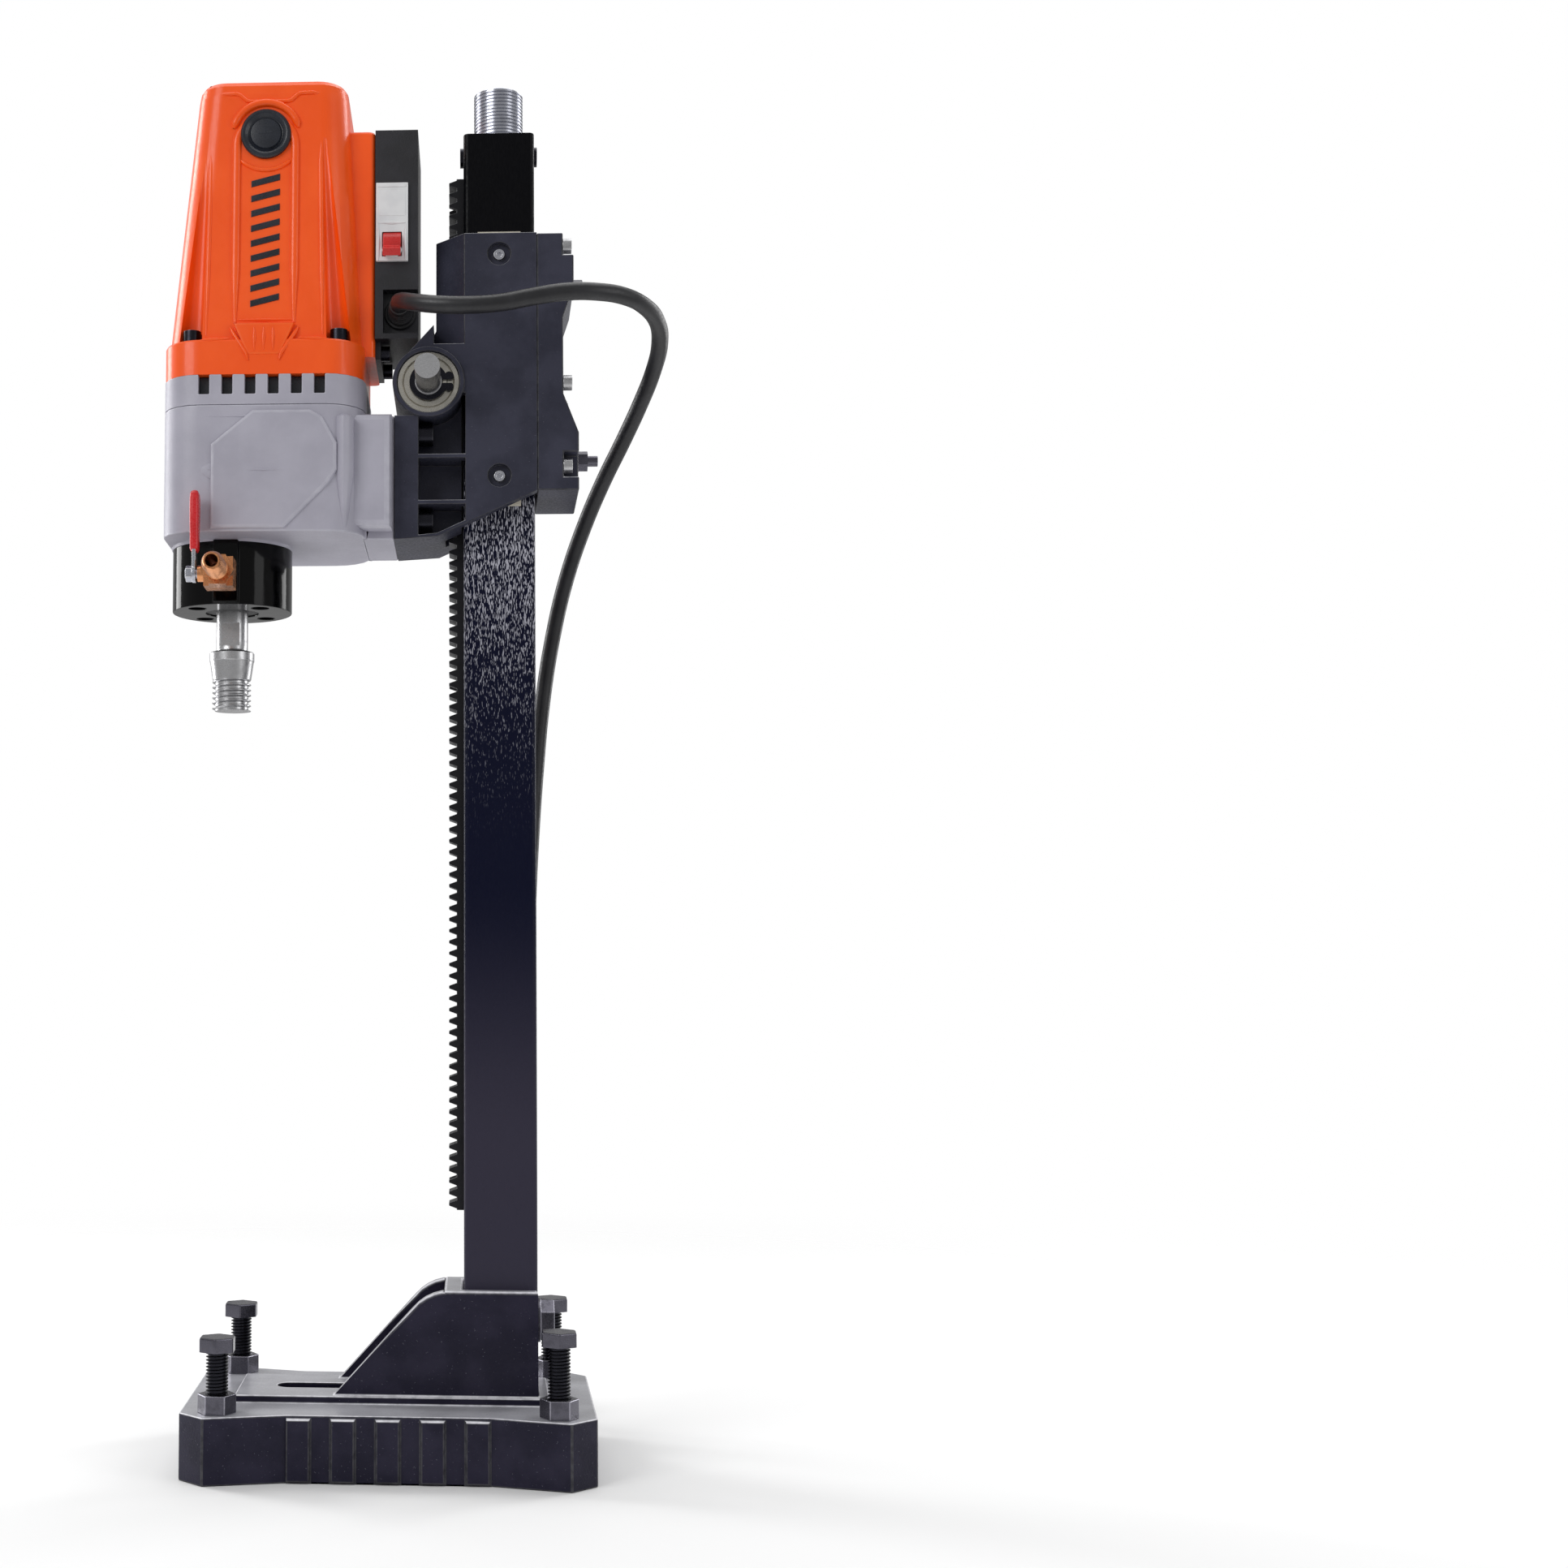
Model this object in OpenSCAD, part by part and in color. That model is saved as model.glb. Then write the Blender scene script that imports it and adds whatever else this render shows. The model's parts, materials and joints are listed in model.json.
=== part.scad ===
// Core drill rig: a hand-fed stand with a rack column, and a wet core drill motor on its carriage.
// Frame: origin on the floor under the middle of the base, +Z up, the motor on the -X side of the column.

/* [Base casting] */
// Length of the base along X
base_l = 220; // [212:1:264]
// Width of the base along Y
base_w = 146; // [142:1:176]
// Height of the rim above the floor
base_h = 35; // [30:1:42]
// Thickness of the rim wall
base_wall = 9; // [7:0.5:11]
// Thickness of the top plate
base_top = 10; // [8:0.5:12]
// Size of the corner chamfers
corner_cut = 14; // [8:1:16]
// How far the long sides are drawn in at the waist
waist_depth = 11; // [6:1:12]
// Length of the straight part of the waist
waist_l = 106; // [90:1:116]
// Width of each grip panel along the waist
panel_w = 12.5; // [8:0.5:14]
// Height of the raised deck above the rim
deck_rise = 4; // [2:0.5:6]
// Width of the raised deck
deck_w = 62; // [54:1:72]
// Width of the anchor slot
slot_w = 14; // [10:0.5:18]
// End-to-end length of the anchor slot
slot_l = 58; // [30:1:60]
// X of the middle of the anchor slot
slot_x = -34; // [-40:1:-34]

/* [Levelling screws] */
// Thread diameter of the levelling screws
level_d = 12; // [10:1:14]
// Width across flats of their heads and nuts
level_flats = 18; // [16:0.5:21]
// Length of the shank under the head
level_l = 65; // [60:1:72]
// Distance of the screws from the middle along X
level_x = 90; // [84:0.5:92]
// Distance of the screws from the middle along Y
level_y = 58; // [54:0.5:59]
// How much higher the screws on the column side stand
level_step = 5; // [0:1:8]

/* [Column] */
// Outer width of the square column
column_w = 40; // [38:0.5:44]
// Wall of the column
column_wall = 3.5; // [2.5:0.5:5]
// Height of the top of the column
column_top = 742; // [620:1:890]
// X of the column axis
column_x = 60; // [58:0.5:62]
// Height of the top of the foot bracket
bracket_top = 95; // [80:1:110]
// Thickness of each side cheek of the foot bracket
cheek = 8; // [6:0.5:10]
// X where the cheeks start on the deck
cheek_x = -34; // [-40:1:-30]

/* [Rack and pinion] */
// Module of the rack and of its pinion
rack_m = 2; // [2:0.25:2.5]
// Number of rack teeth
rack_teeth = 93; // [78:1:93]
// Width of the rack
rack_w = 14; // [12:0.5:15]
// Height of the lower end of the rack
rack_z0 = 136; // [125:1:150]
// Thickness of the rack behind its teeth
rack_back = 4; // [3.5:0.5:5]
// Teeth of the feed pinion
pinion_teeth = 13; // [12:1:14]
// Diameter of the feed shaft
feed_d = 15; // [14:1:16]
// How far the feed shaft stands out of its boss
feed_out = 31; // [24:1:38]
// Outer diameter of the feed shaft bearings
feed_bearing_d = 35; // [32:0.5:36]
// Width of the feed shaft bearings
feed_bearing_w = 11; // [8:0.5:11]

/* [Carriage] */
// Width of the carriage along Y
carriage_w = 64; // [62:1:76]
// Height of the carriage above the feed shaft
carriage_up = 85; // [70:1:95]
// Wall of the feed shaft boss
boss_wall = 2.5; // [2:0.25:4]
// Thickness of the guide pads
pad_t = 4.5; // [3:0.25:5]
// Running gap between the pads and the column
pad_gap = 0.3; // [0.2:0.05:0.5]
// Thickness of the plate that carries the gearbox
plate_t = 13.5; // [10:0.5:15]
// Height of the plate that carries the gearbox
plate_h = 70; // [64:1:72]

/* [Motor and gearbox] */
// X of the spindle axis
spindle_x = -92; // [-94:0.5:-90]
// Distance from the spindle axis to the motor axis
motor_dx = 22; // [20:0.5:24]
// Width of the gearbox along X
gearbox_w = 113; // [112:1:120]
// Depth of the gearbox along Y
gearbox_d = 103; // [100:1:116]
// Wall of the gearbox
gearbox_wall = 5; // [4:0.5:5.5]
// Width of the motor housing at its top along X
motor_top_w = 84; // [76:1:100]
// Depth of the motor housing at its top along Y
motor_top_d = 88; // [80:1:98]
// Height of the motor housing
motor_h = 170; // [160:1:204]
// Wall of the motor housing
motor_wall = 4; // [3:0.5:5]
// Teeth of the armature pinion
armature_teeth = 9; // [9:1:10]
// Teeth of the layshaft gear
layshaft_teeth = 25; // [24:1:26]
// Module of the first gear pair
fast_m = 1.5; // [1.25:0.25:1.5]
// Teeth of the layshaft pinion
layshaft_pinion_teeth = 10; // [9:1:11]
// Teeth of the spindle gear
spindle_teeth = 28; // [27:1:29]
// Module of the second gear pair
slow_m = 2; // [1.75:0.25:2]

/* [Spindle and water collar] */
// Diameter of the spindle thread
spindle_d = 22; // [18:0.5:24]
// Length of the threaded end
thread_l = 18; // [14:1:24]
// Diameter of the spindle neck
neck_d = 18; // [16:0.5:19]
// Bore of the spindle that carries the water
water_bore = 9; // [6:0.5:10]
// Diameter of the water collar
collar_d = 68; // [64:1:72]
// Height of the water collar
collar_h = 37; // [32:1:44]
// Diameter of the hose tail
tail_d = 12; // [10:0.5:14]
// Length of the hose tail
tail_l = 24; // [18:1:30]
// Length of the valve lever
lever_l = 44; // [36:1:52]

/* [Switch and cable] */
// Width of the switch box along X
box_w = 24; // [22:1:28]
// Depth of the switch box along Y
box_d = 62; // [56:1:70]
// Height of the switch box
box_h = 120; // [110:1:130]
// Wall of the switch box
box_wall = 3; // [2:0.5:4]
// Width of the breaker's front
breaker_w = 18; // [17:0.5:19]
// Height of the breaker's front
breaker_h = 45; // [42:1:46]
// Diameter of the supply cable
cable_d = 9.5; // [8:0.5:10]

/* [Hidden] */
$fn = 64;

// Shared clearances
run_gap = 0.05;       // radial gap of a shaft in its bearing
screw_gap = 0.25;     // radial gap of a fastener in a plain hole

// Base
deck_z = base_h + deck_rise;
deck_x0 = -84;
panel_n = 5;
column_x0 = column_x - column_w / 2;
column_x1 = column_x + column_w / 2;
socket_gap = 0.25;
bracket_y = column_w / 2 + socket_gap + cheek;
bracket_x1 = column_x1;
socket_front = 11;    // thickness of the socket wall in front of the column
foot_z = 12;
column_bolt_z = bracket_top - 19;
column_bolt_d = 12;
level_nut_h = 10;
level_head_h = 7.5;
level_tip_z = 2;
flats_to_corners = 2 / sqrt(3);

// Rack and pinion
pitch = PI * rack_m;
rack_len = rack_teeth * pitch;
rack_dedendum = 1.25 * rack_m;
rack_addendum = 0.9 * rack_m;
rack_slack = 0.3;
rack_pitch_x = column_x0 - rack_back - rack_dedendum;
pinion_r = rack_m * pinion_teeth / 2;
feed_x = rack_pitch_x - pinion_r;
rest_tooth = rack_teeth - 20;
feed_z = rack_z0 + rest_tooth * pitch;
pinion_w = rack_w + 2;
rack_screw_d = 6;
rack_seat = 2.2;      // depth of the screw heads' seats below the tooth roots
rack_screw_n = 5;
rack_screw_step = (rack_teeth - 5) / (rack_screw_n - 1);
rack_screw_z = [for (i = [0:rack_screw_n - 1]) rack_z0 + (2.5 + i * rack_screw_step) * pitch];

// Carriage
half_w = carriage_w / 2;
carriage_top = feed_z + carriage_up;
cavity_y = column_w / 2 + pad_gap + pad_t;
boss_r = feed_bearing_d / 2 + boss_wall;
boss_y = half_w + 2;
nose_x = column_x0 - 15.5;
nose_y = 15;
seam_x = column_x1 + 1;
plate_x0 = feed_x - 19;
plate_x1 = plate_x0 + plate_t;
plate_top = feed_z - 18.5;
plate_bottom = plate_top - plate_h;
web = 2.4;
pocket_y = 13;
pocket_x1 = column_x0 + 1;
cap_bottom = plate_bottom + 27;
cap_back_x = seam_x + 20.5;
cap_neck_x = seam_x + 14.5;
upper_pad_z = feed_z + 73;
lower_pad_z = feed_z - 53;
pad_x = 24;
pad_z = 30;
pad_screw_d = 6;
recess_d = 13;
recess_t = 3.5;
stud_d = 6;
stud_nut_flats = 10;
stud_nut_h = 5;
stud_upper_z = feed_z + 62;
stud_lower_z = feed_z - 38;
rear_pad_y = 26;
cap_screw_d = 5;
cap_head_d = 8.5;
cap_head_h = 5;
cap_screw_y = half_w - 4.5;
cap_screw_spots = [[feed_z + 78, cap_screw_y], [feed_z, cap_screw_y], [feed_z - 47, cap_screw_y]];
mount_screw_d = 8;
mount_screw_y = 22;
mount_screw_z = [plate_bottom + 12, plate_top - 9];
feed_bearing_y = boss_y - 1.5;
feed_end_d = feed_d - 1;
feed_far = 2;         // stub of the feed shaft beyond the far bearing
ring_t = 1.2;

// Gearbox and motor
motor_x = spindle_x + motor_dx;
gearbox_x1 = plate_x0 - 16;
gearbox_x0 = gearbox_x1 - gearbox_w;
gearbox_z0 = plate_bottom + 1;
gearbox_z1 = plate_top + 2;
cover_z1 = gearbox_z1 + 17;
cover_plate = 6;
motor_z0 = cover_z1;
motor_z1 = motor_z0 + motor_h;
flange_h = 20;
hidden_slack = 0.35;
fast_a = fast_m * (armature_teeth + layshaft_teeth) / 2;
slow_a = slow_m * (layshaft_pinion_teeth + spindle_teeth) / 2;
lay_dx = (slow_a * slow_a - fast_a * fast_a + motor_dx * motor_dx) / (2 * motor_dx);
lay_y = sqrt(slow_a * slow_a - lay_dx * lay_dx);
lay_x = spindle_x + lay_dx;
lay_to_motor = atan2(-lay_y, motor_x - lay_x);
lay_to_spindle = atan2(-lay_y, spindle_x - lay_x);
slow_z = gearbox_z0 + 24;
slow_gear_w = 14;
fast_z = gearbox_z1 - 16;
fast_gear_w = 9;
journal_d = 10;
small_bearing_d = 26;
small_bearing_w = 8;
big_bearing_d = 47;
big_bearing_w = 12;
big_journal_d = 20;
brush_z = motor_z1 - 32;
brush_cap_d = 28;
brush_cap_t = 5;
stator_d = 76;
stator_bore = 46;
stator_h = 62;
stator_z = motor_z0 + 34;
core_d = stator_bore - 1.5;
commutator_d = 30;
commutator_h = 16;
brush_w = 8;
motor_screw_x = 41;
motor_screw_y = 41;
shelf_x0 = motor_x + 34;
shelf_z1 = motor_z1 - 25;
box_x0 = gearbox_x1 + 5;
box_x1 = box_x0 + box_w;
box_z1 = shelf_z1;
box_z0 = box_z1 - box_h;
box_y0 = -box_d / 2;
box_y1 = box_d / 2;
box_flange = 10;
box_screw_d = 5;
box_screw_l = 10;
box_screw_y = [-18, 18];
breaker_x = box_x0 + 0.5 + breaker_w / 2;
breaker_z = box_z1 - 53.5;
breaker_y0 = box_y0 - 2;
toggle_z = breaker_z - 13;
toggle_d = 16;
gland_x = box_x1 - 10;
gland_z = box_z0 + 16;
gland_d = 18;
gland_recess = 8;

// Water collar and spindle
collar_z1 = gearbox_z0;
collar_z0 = collar_z1 - collar_h;
neck_z0 = collar_z0 - 22.5;
spindle_flange_h = 5;
thread_z1 = neck_z0 - spindle_flange_h - 10.5;
spindle_top_d = 16;
spindle_tip = thread_z1 - thread_l;
collar_seat_d = neck_d + 12;
flange_collar_d = spindle_d + 3.5;
valve_z = collar_z0 + 12;
valve_y = -collar_d / 2 - 26;
valve_r = 8;
stem_d = 5;
lever_x = spindle_x - 14;

// Jack screw
jack_d = 28;
jack_out = 30;
jack_in = 60;
head_nut_h = 50;
cross_bolt_d = 8;
cross_bolt_z = column_top - 7;

// Route of the cable from the gland to the coil, and from the coil to the plug
cord_route = [[4.5, -27, 636], [4.5, -36, 636], [4.5, -47, 635.5], [7, -59, 632.5], [14, -69, 628.5],
    [26, -76, 625], [42, -79, 623.5], [60, -79, 624.5], [78, -78, 628], [96, -76, 631],
    [112, -72, 632], [127, -64, 632], [139, -52, 630], [147, -37, 626], [150, -19, 619], [148, 0, 609], [142, 18, 595], [133, 34, 577],
    [122, 48, 556], [111, 60, 531], [101, 69, 502], [93, 76, 468], [87, 81, 430], [83, 85, 388], [80, 88, 344],
    [78, 90, 300], [77, 90, 256], [76, 90, 212], [76, 90, 170], [76, 90, 130], [76, 90, 95], [76, 90, 74],
    [76, 91, 57], [76, 94.5, 41.5], [76, 102, 28.5], [76, 112, 19.5], [75.5, 124, 13.5], [75, 136, 9.5],
    [73.3, 148, 6.5], [71, 157, 5.2], [67, 164.4, 4.75]];
cord_end_route = [[-6.3, 192.8, 4.75], [-16, 184.7, 4.75], [-26, 176.4, 4.75], [-35.5, 168, 5.3],
    [-43.5, 158, 6.8], [-49, 147, 8.7], [-52.2, 137.5, 10.2], [-53, 132.5, 10.5], [-53, 128, 10.5]];
cord_sides = 8;
coil_x = 38;
coil_y = 140;
coil_r0 = 38;         // radius of the first turn
coil_turns = 3.25;
coil_r1 = coil_r0 + coil_turns * cable_d;
plug_x = -53;
plug_y1 = 128;
plug_l = 42;
plug_w = 34;
plug_t = 21;
pin_l = 18;

// ---- Helpers ----
// Extrudes an X-Z outline from y0 to y1
module side(y0, y1) translate([0, y1, 0]) rotate([90, 0, 0]) linear_extrude(y1 - y0) children();

// Turns a piece drawn along +Z so that it runs along +X or +Y
module to_x() rotate([0, 90, 0]) children();
module to_y() rotate([-90, 0, 0]) children();

module mirrored_y() {
    children();
    mirror([0, 1, 0]) children();
}

// Outline with rounded corners
function arc_corner(x, y, r, a0) = [for (i = [0:5]) [x + r * cos(a0 + i * 18), y + r * sin(a0 + i * 18)]];
function rounded(x0, x1, y0, y1, r) = concat(
    arc_corner(x1 - r, y1 - r, r, 0), arc_corner(x0 + r, y1 - r, r, 90),
    arc_corner(x0 + r, y0 + r, r, 180), arc_corner(x1 - r, y0 + r, r, 270));

module rounded_block(x0, x1, y0, y1, z0, z1, r) {
    translate([0, 0, z0]) linear_extrude(z1 - z0) polygon(rounded(x0, x1, y0, y1, r));
}

module block(x0, x1, y0, y1, z0, z1) translate([x0, y0, z0]) cube([x1 - x0, y1 - y0, z1 - z0]);

module hex(flats, h) cylinder(d = flats * flats_to_corners, h = h, $fn = 6);

// Cap screw along +Z: head below z = 0, shank above it
module cap_screw(d, head_d, head_h, l) {
    difference() {
        union() {
            translate([0, 0, -head_h]) cylinder(d = head_d, h = head_h);
            cylinder(d = d, h = l);
        }
        translate([0, 0, -head_h - 0.01]) hex(head_d / 2, head_h * 0.55);
    }
}

module ring(od, id, h) {
    difference() {
        cylinder(d = od, h = h);
        translate([0, 0, -1]) cylinder(d = id, h = h + 2);
    }
}

// Involute gear outline with a tooth on +X; slack thins each tooth at the pitch circle
function pressure(rb, r) = acos(min(1, rb / r));
function involute(a) = tan(a) * 180 / PI - a;
function half_tooth(m, z, rb, r, slack) =
    90 / z - slack / (m * z) * 180 / PI + involute(20) - involute(pressure(rb, max(r, rb)));
function flank(m, z, slack) =
    let (rp = m * z / 2, rb = rp * cos(20), tip = rp + m, root = rp - 1.25 * m, low = max(rb, root + 0.1))
    concat([[root, half_tooth(m, z, rb, low, slack)]],
        [for (i = [0:4]) let (r = low + (tip - low) * i / 4) [r, half_tooth(m, z, rb, r, slack)]]);
module gear_outline(m, z, slack) {
    f = flank(m, z, slack);
    n = len(f) - 1;
    polygon([for (t = [0:z - 1]) for (k = [0:2 * n + 1])
        let (q = f[k <= n ? k : 2 * n + 1 - k], p = [q[0], k <= n ? -q[1] : q[1]], a = t * 360 / z + p[1])
        [p[0] * cos(a), p[0] * sin(a)]]);
}

// Tube swept along a list of points, one ring of points each
function unit(v) = v / norm(v);
function heading(p, i) = unit(p[min(i + 1, len(p) - 1)] - p[max(i - 1, 0)]);
function carry(p, i, last) = let (t = heading(p, i)) unit(last - (last * t) * t);
function normals(p, i, last) = i == len(p) ? [] :
    let (n = carry(p, i, last)) concat([n], normals(p, i + 1, n));
module swept_tube(p, d, sides) {
    n = normals(p, 0, [0, 0.1, 1]);
    last = len(p) - 1;
    points = [for (i = [0:last]) for (s = [0:sides - 1])
        let (b = cross(heading(p, i), n[i]), a = s * 360 / sides) p[i] + d / 2 * (cos(a) * n[i] + sin(a) * b)];
    faces = concat([[for (s = [sides - 1:-1:0]) s]], [[for (s = [0:sides - 1]) last * sides + s]],
        [for (i = [0:last - 1]) for (s = [0:sides - 1])
            let (a = i * sides + s, b = i * sides + (s + 1) % sides) [a, b, b + sides, a + sides]]);
    polyhedron(points = points, faces = faces, convexity = 10);
}

// ---- Base ----
function base_outline(inset) = let (x = base_l / 2 - inset, y = base_w / 2 - inset, c = corner_cut - inset / 3,
    w = waist_l / 2, k = base_w / 2 - waist_depth - inset)
    [[x, -y + c], [x, y - c], [x - c, y], [w, k], [-w, k], [-x + c, y], [-x, y - c], [-x, -y + c],
    [-x + c, -y], [-w, -k], [w, -k], [x - c, -y]];

module waist_panels() {
    step = waist_l / (panel_n - 0.5);
    for (i = [0:panel_n - 1]) {
        x = -waist_l / 2 + i * step;
        block(x, x + panel_w, -base_w / 2 + waist_depth - 2, -base_w / 2 + waist_depth + 1, 1, base_h - 2);
    }
}

module slot_hole(grow) {
    r = slot_w / 2 + grow;
    x = slot_l / 2 - slot_w / 2;
    for (s = [-1, 1]) translate([slot_x + s * x, 0, -1]) cylinder(r = r, h = deck_z + 2);
    block(slot_x - x, slot_x + x, -r, r, -1, deck_z + 1);
}

module bracket_outline() {
    rise = bracket_top - deck_z;
    top_x = nose_x + 8;
    bend = 26;
    polygon(concat([[bracket_x1, deck_z - 2], [bracket_x1, bracket_top]],
        [for (a = [90:10:145]) [top_x + bend * cos(a), bracket_top - bend + bend * sin(a)]],
        [[cheek_x, base_h - 0.5], [cheek_x, deck_z - 3]]));
}

module base_casting() {
    color("#26272b") difference() {
        union() {
            difference() {
                linear_extrude(base_h) polygon(base_outline(0));
                translate([0, 0, -1]) linear_extrude(base_h - base_top + 1) polygon(base_outline(base_wall));
            }
            mirrored_y() waist_panels();
            block(deck_x0, column_x1 + 6, -deck_w / 2, deck_w / 2, base_h - base_top, deck_z);
            block(slot_x - slot_l / 2 - 7, column_x1, -slot_w / 2 - 7, slot_w / 2 + 7, 0, base_h);
            block(column_x0 - socket_front, column_x1 + 6, -bracket_y, bracket_y, 0, deck_z);
            for (x = [-1, 1], y = [-1, 1]) translate([x * level_x, y * level_y, 0])
                translate([0, 0, 6]) cylinder(d = level_d + 12, h = base_h - 6);
            side(-bracket_y, -bracket_y + cheek) bracket_outline();
            side(bracket_y - cheek, bracket_y) bracket_outline();
            block(column_x0 - socket_front, column_x0 - socket_gap, -bracket_y, bracket_y, base_h,
                bracket_top);
        }
        slot_hole(0);
        block(column_x0 - socket_gap, column_x1 + socket_gap, -column_w / 2 - socket_gap,
            column_w / 2 + socket_gap, foot_z, bracket_top + 1);
        for (x = [-1, 1], y = [-1, 1]) translate([x * level_x, y * level_y, -1])
            cylinder(d = level_d + 2 * run_gap, h = base_h + 2);
        translate([column_x0 - socket_front - 1, 0, column_bolt_z]) to_x()
            cylinder(d = column_bolt_d + 2 * screw_gap, h = socket_front + 2);
    }
}

module levelling_screw(sx, sy) {
    color("#55575c") translate([sx * level_x, sy * level_y, level_tip_z + (sx > 0 ? level_step : 0)]) {
        cylinder(d = level_d, h = level_l);
        translate([0, 0, level_l]) hex(level_flats, level_head_h);
    }
}

module levelling_nuts() {
    color("#4a4c51") for (x = [-1, 1], y = [-1, 1]) translate([x * level_x, y * level_y, base_h])
        difference() {
        hex(level_flats, level_nut_h);
        translate([0, 0, -1]) cylinder(d = level_d + 2 * run_gap, h = level_nut_h + 2);
    }
}

// ---- Column ----
module column_tube() {
    w = column_w / 2;
    i = w - column_wall;
    color("#15161a") difference() {
        rounded_block(column_x - w, column_x + w, -w, w, foot_z, column_top, 3);
        rounded_block(column_x - i, column_x + i, -i, i, foot_z - 1, column_top + 1, 1.5);
        translate([column_x0 - 1, 0, column_bolt_z]) to_x() cylinder(d = column_bolt_d + 2 * screw_gap,
            h = column_w + 2);
        translate([column_x0 - 1, 0, cross_bolt_z]) to_x() cylinder(d = cross_bolt_d + 2 * screw_gap,
            h = column_w + 2);
        for (z = rack_screw_z) translate([column_x0 - 1, 0, z]) to_x() cylinder(d = rack_screw_d,
            h = column_wall + 2);
    }
}

module column_bolt() {
    reach = column_w + socket_front + 9;
    color("#55575c") translate([column_x1, 0, column_bolt_z]) {
        to_x() difference() {
            cylinder(d = 24, h = 2);
            translate([0, 0, -1]) cylinder(d = column_bolt_d - 1, h = 4);
        }
        translate([2, 0, 0]) to_x() hex(19, 7.5);
        translate([2 - reach, 0, 0]) to_x() cylinder(d = column_bolt_d, h = reach);
    }
}

module column_nut() {
    color("#6b6d70") translate([column_x0 - socket_front, 0, column_bolt_z]) rotate([0, -90, 0]) difference() {
        hex(19, 6);
        translate([0, 0, -1]) cylinder(d = column_bolt_d + 2 * run_gap, h = 8);
    }
}

module rack() {
    root_x = column_x0 - rack_back;
    half = (pitch / 2 - rack_slack) / 2;
    root_half = half + rack_dedendum * tan(20);
    tip_half = half - rack_addendum * tan(20);
    tip_x = rack_pitch_x - rack_addendum;
    color("#1b1c1f") difference() {
        side(-rack_w / 2, rack_w / 2) polygon(concat(
            [[column_x0, rack_z0], [root_x, rack_z0]],
            [for (i = [0:rack_teeth - 1]) let (z = rack_z0 + (i + 0.5) * pitch) each
                [[root_x, z - root_half], [tip_x, z - tip_half],
                [tip_x, z + tip_half], [root_x, z + root_half]]],
            [[root_x, rack_z0 + rack_len], [column_x0, rack_z0 + rack_len]]));
        for (z = rack_screw_z) translate([tip_x - 1, 0, z]) to_x() {
            cylinder(d = rack_screw_d + 2 * screw_gap, h = 20);
            cylinder(d = cap_head_d + 2 * screw_gap, h = rack_pitch_x - tip_x + rack_dedendum + 1 + rack_seat);
        }
    }
}

module rack_screws() {
    color("#6b6d70") for (z = rack_screw_z) translate([column_x0 - rack_back + rack_seat, 0, z]) to_x()
        cap_screw(rack_screw_d, cap_head_d, 2.4, rack_back - rack_seat + column_wall);
}

module column_head_nut() {
    i = column_w / 2 - column_wall - 0.1;
    color("#6b6d70") difference() {
        rounded_block(column_x - i, column_x + i, -i, i, column_top - head_nut_h - 2, column_top - 2, 1.5);
        translate([column_x, 0, column_top - head_nut_h - 3])
            cylinder(d = jack_d + 2 * run_gap, h = head_nut_h + 2);
    }
}

// Two screws through the column wall into the head nut; their heads stop the carriage at the top
module stop_screws() {
    color("#1b1c1f") for (s = [0, 1]) translate([column_x, 0, cross_bolt_z]) rotate([0, 0, 180 * s])
        translate([column_w / 2 - column_wall, 0, 0]) to_x() {
        cylinder(d = cross_bolt_d, h = column_wall + 0.5);
        translate([0, 0, column_wall]) cylinder(d = cross_bolt_d + 3, h = 2);
    }
}

module jack_screw() {
    color("#b9babd") translate([column_x, 0, column_top - jack_in])
        cylinder(d = jack_d, h = jack_in + jack_out);
}

// ---- Carriage ----
module carriage_outline() {
    polygon([[nose_x, carriage_top], [seam_x, carriage_top], [seam_x, cap_bottom],
        [nose_x + 1, plate_bottom + 1.5], [plate_x0, plate_bottom], [plate_x0, plate_top], [feed_x, plate_top],
        [feed_x - boss_r * 0.72, feed_z + boss_r * 0.69], [nose_x, feed_z + 34]]);
}

module window_outline() {
    slope = (cap_bottom - plate_bottom - 1.5) / (seam_x - nose_x - 1);
    polygon([[plate_x1, plate_top - 22], [pocket_x1, plate_top - 22],
        [pocket_x1, feed_z - 6], [plate_x1, feed_z - 6]]);
    polygon([[plate_x1, plate_top - 48], [pocket_x1, plate_top - 48], [pocket_x1, plate_top - 22 - web],
        [plate_x1, plate_top - 22 - web]]);
    polygon([[plate_x1, plate_bottom + 2.5], [nose_x + 1, plate_bottom + 3.5],
        [pocket_x1, plate_bottom + 3.5 + slope * (pocket_x1 - nose_x - 1)], [pocket_x1, plate_top - 48 - web],
        [plate_x1, plate_top - 48 - web]]);
}

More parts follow.
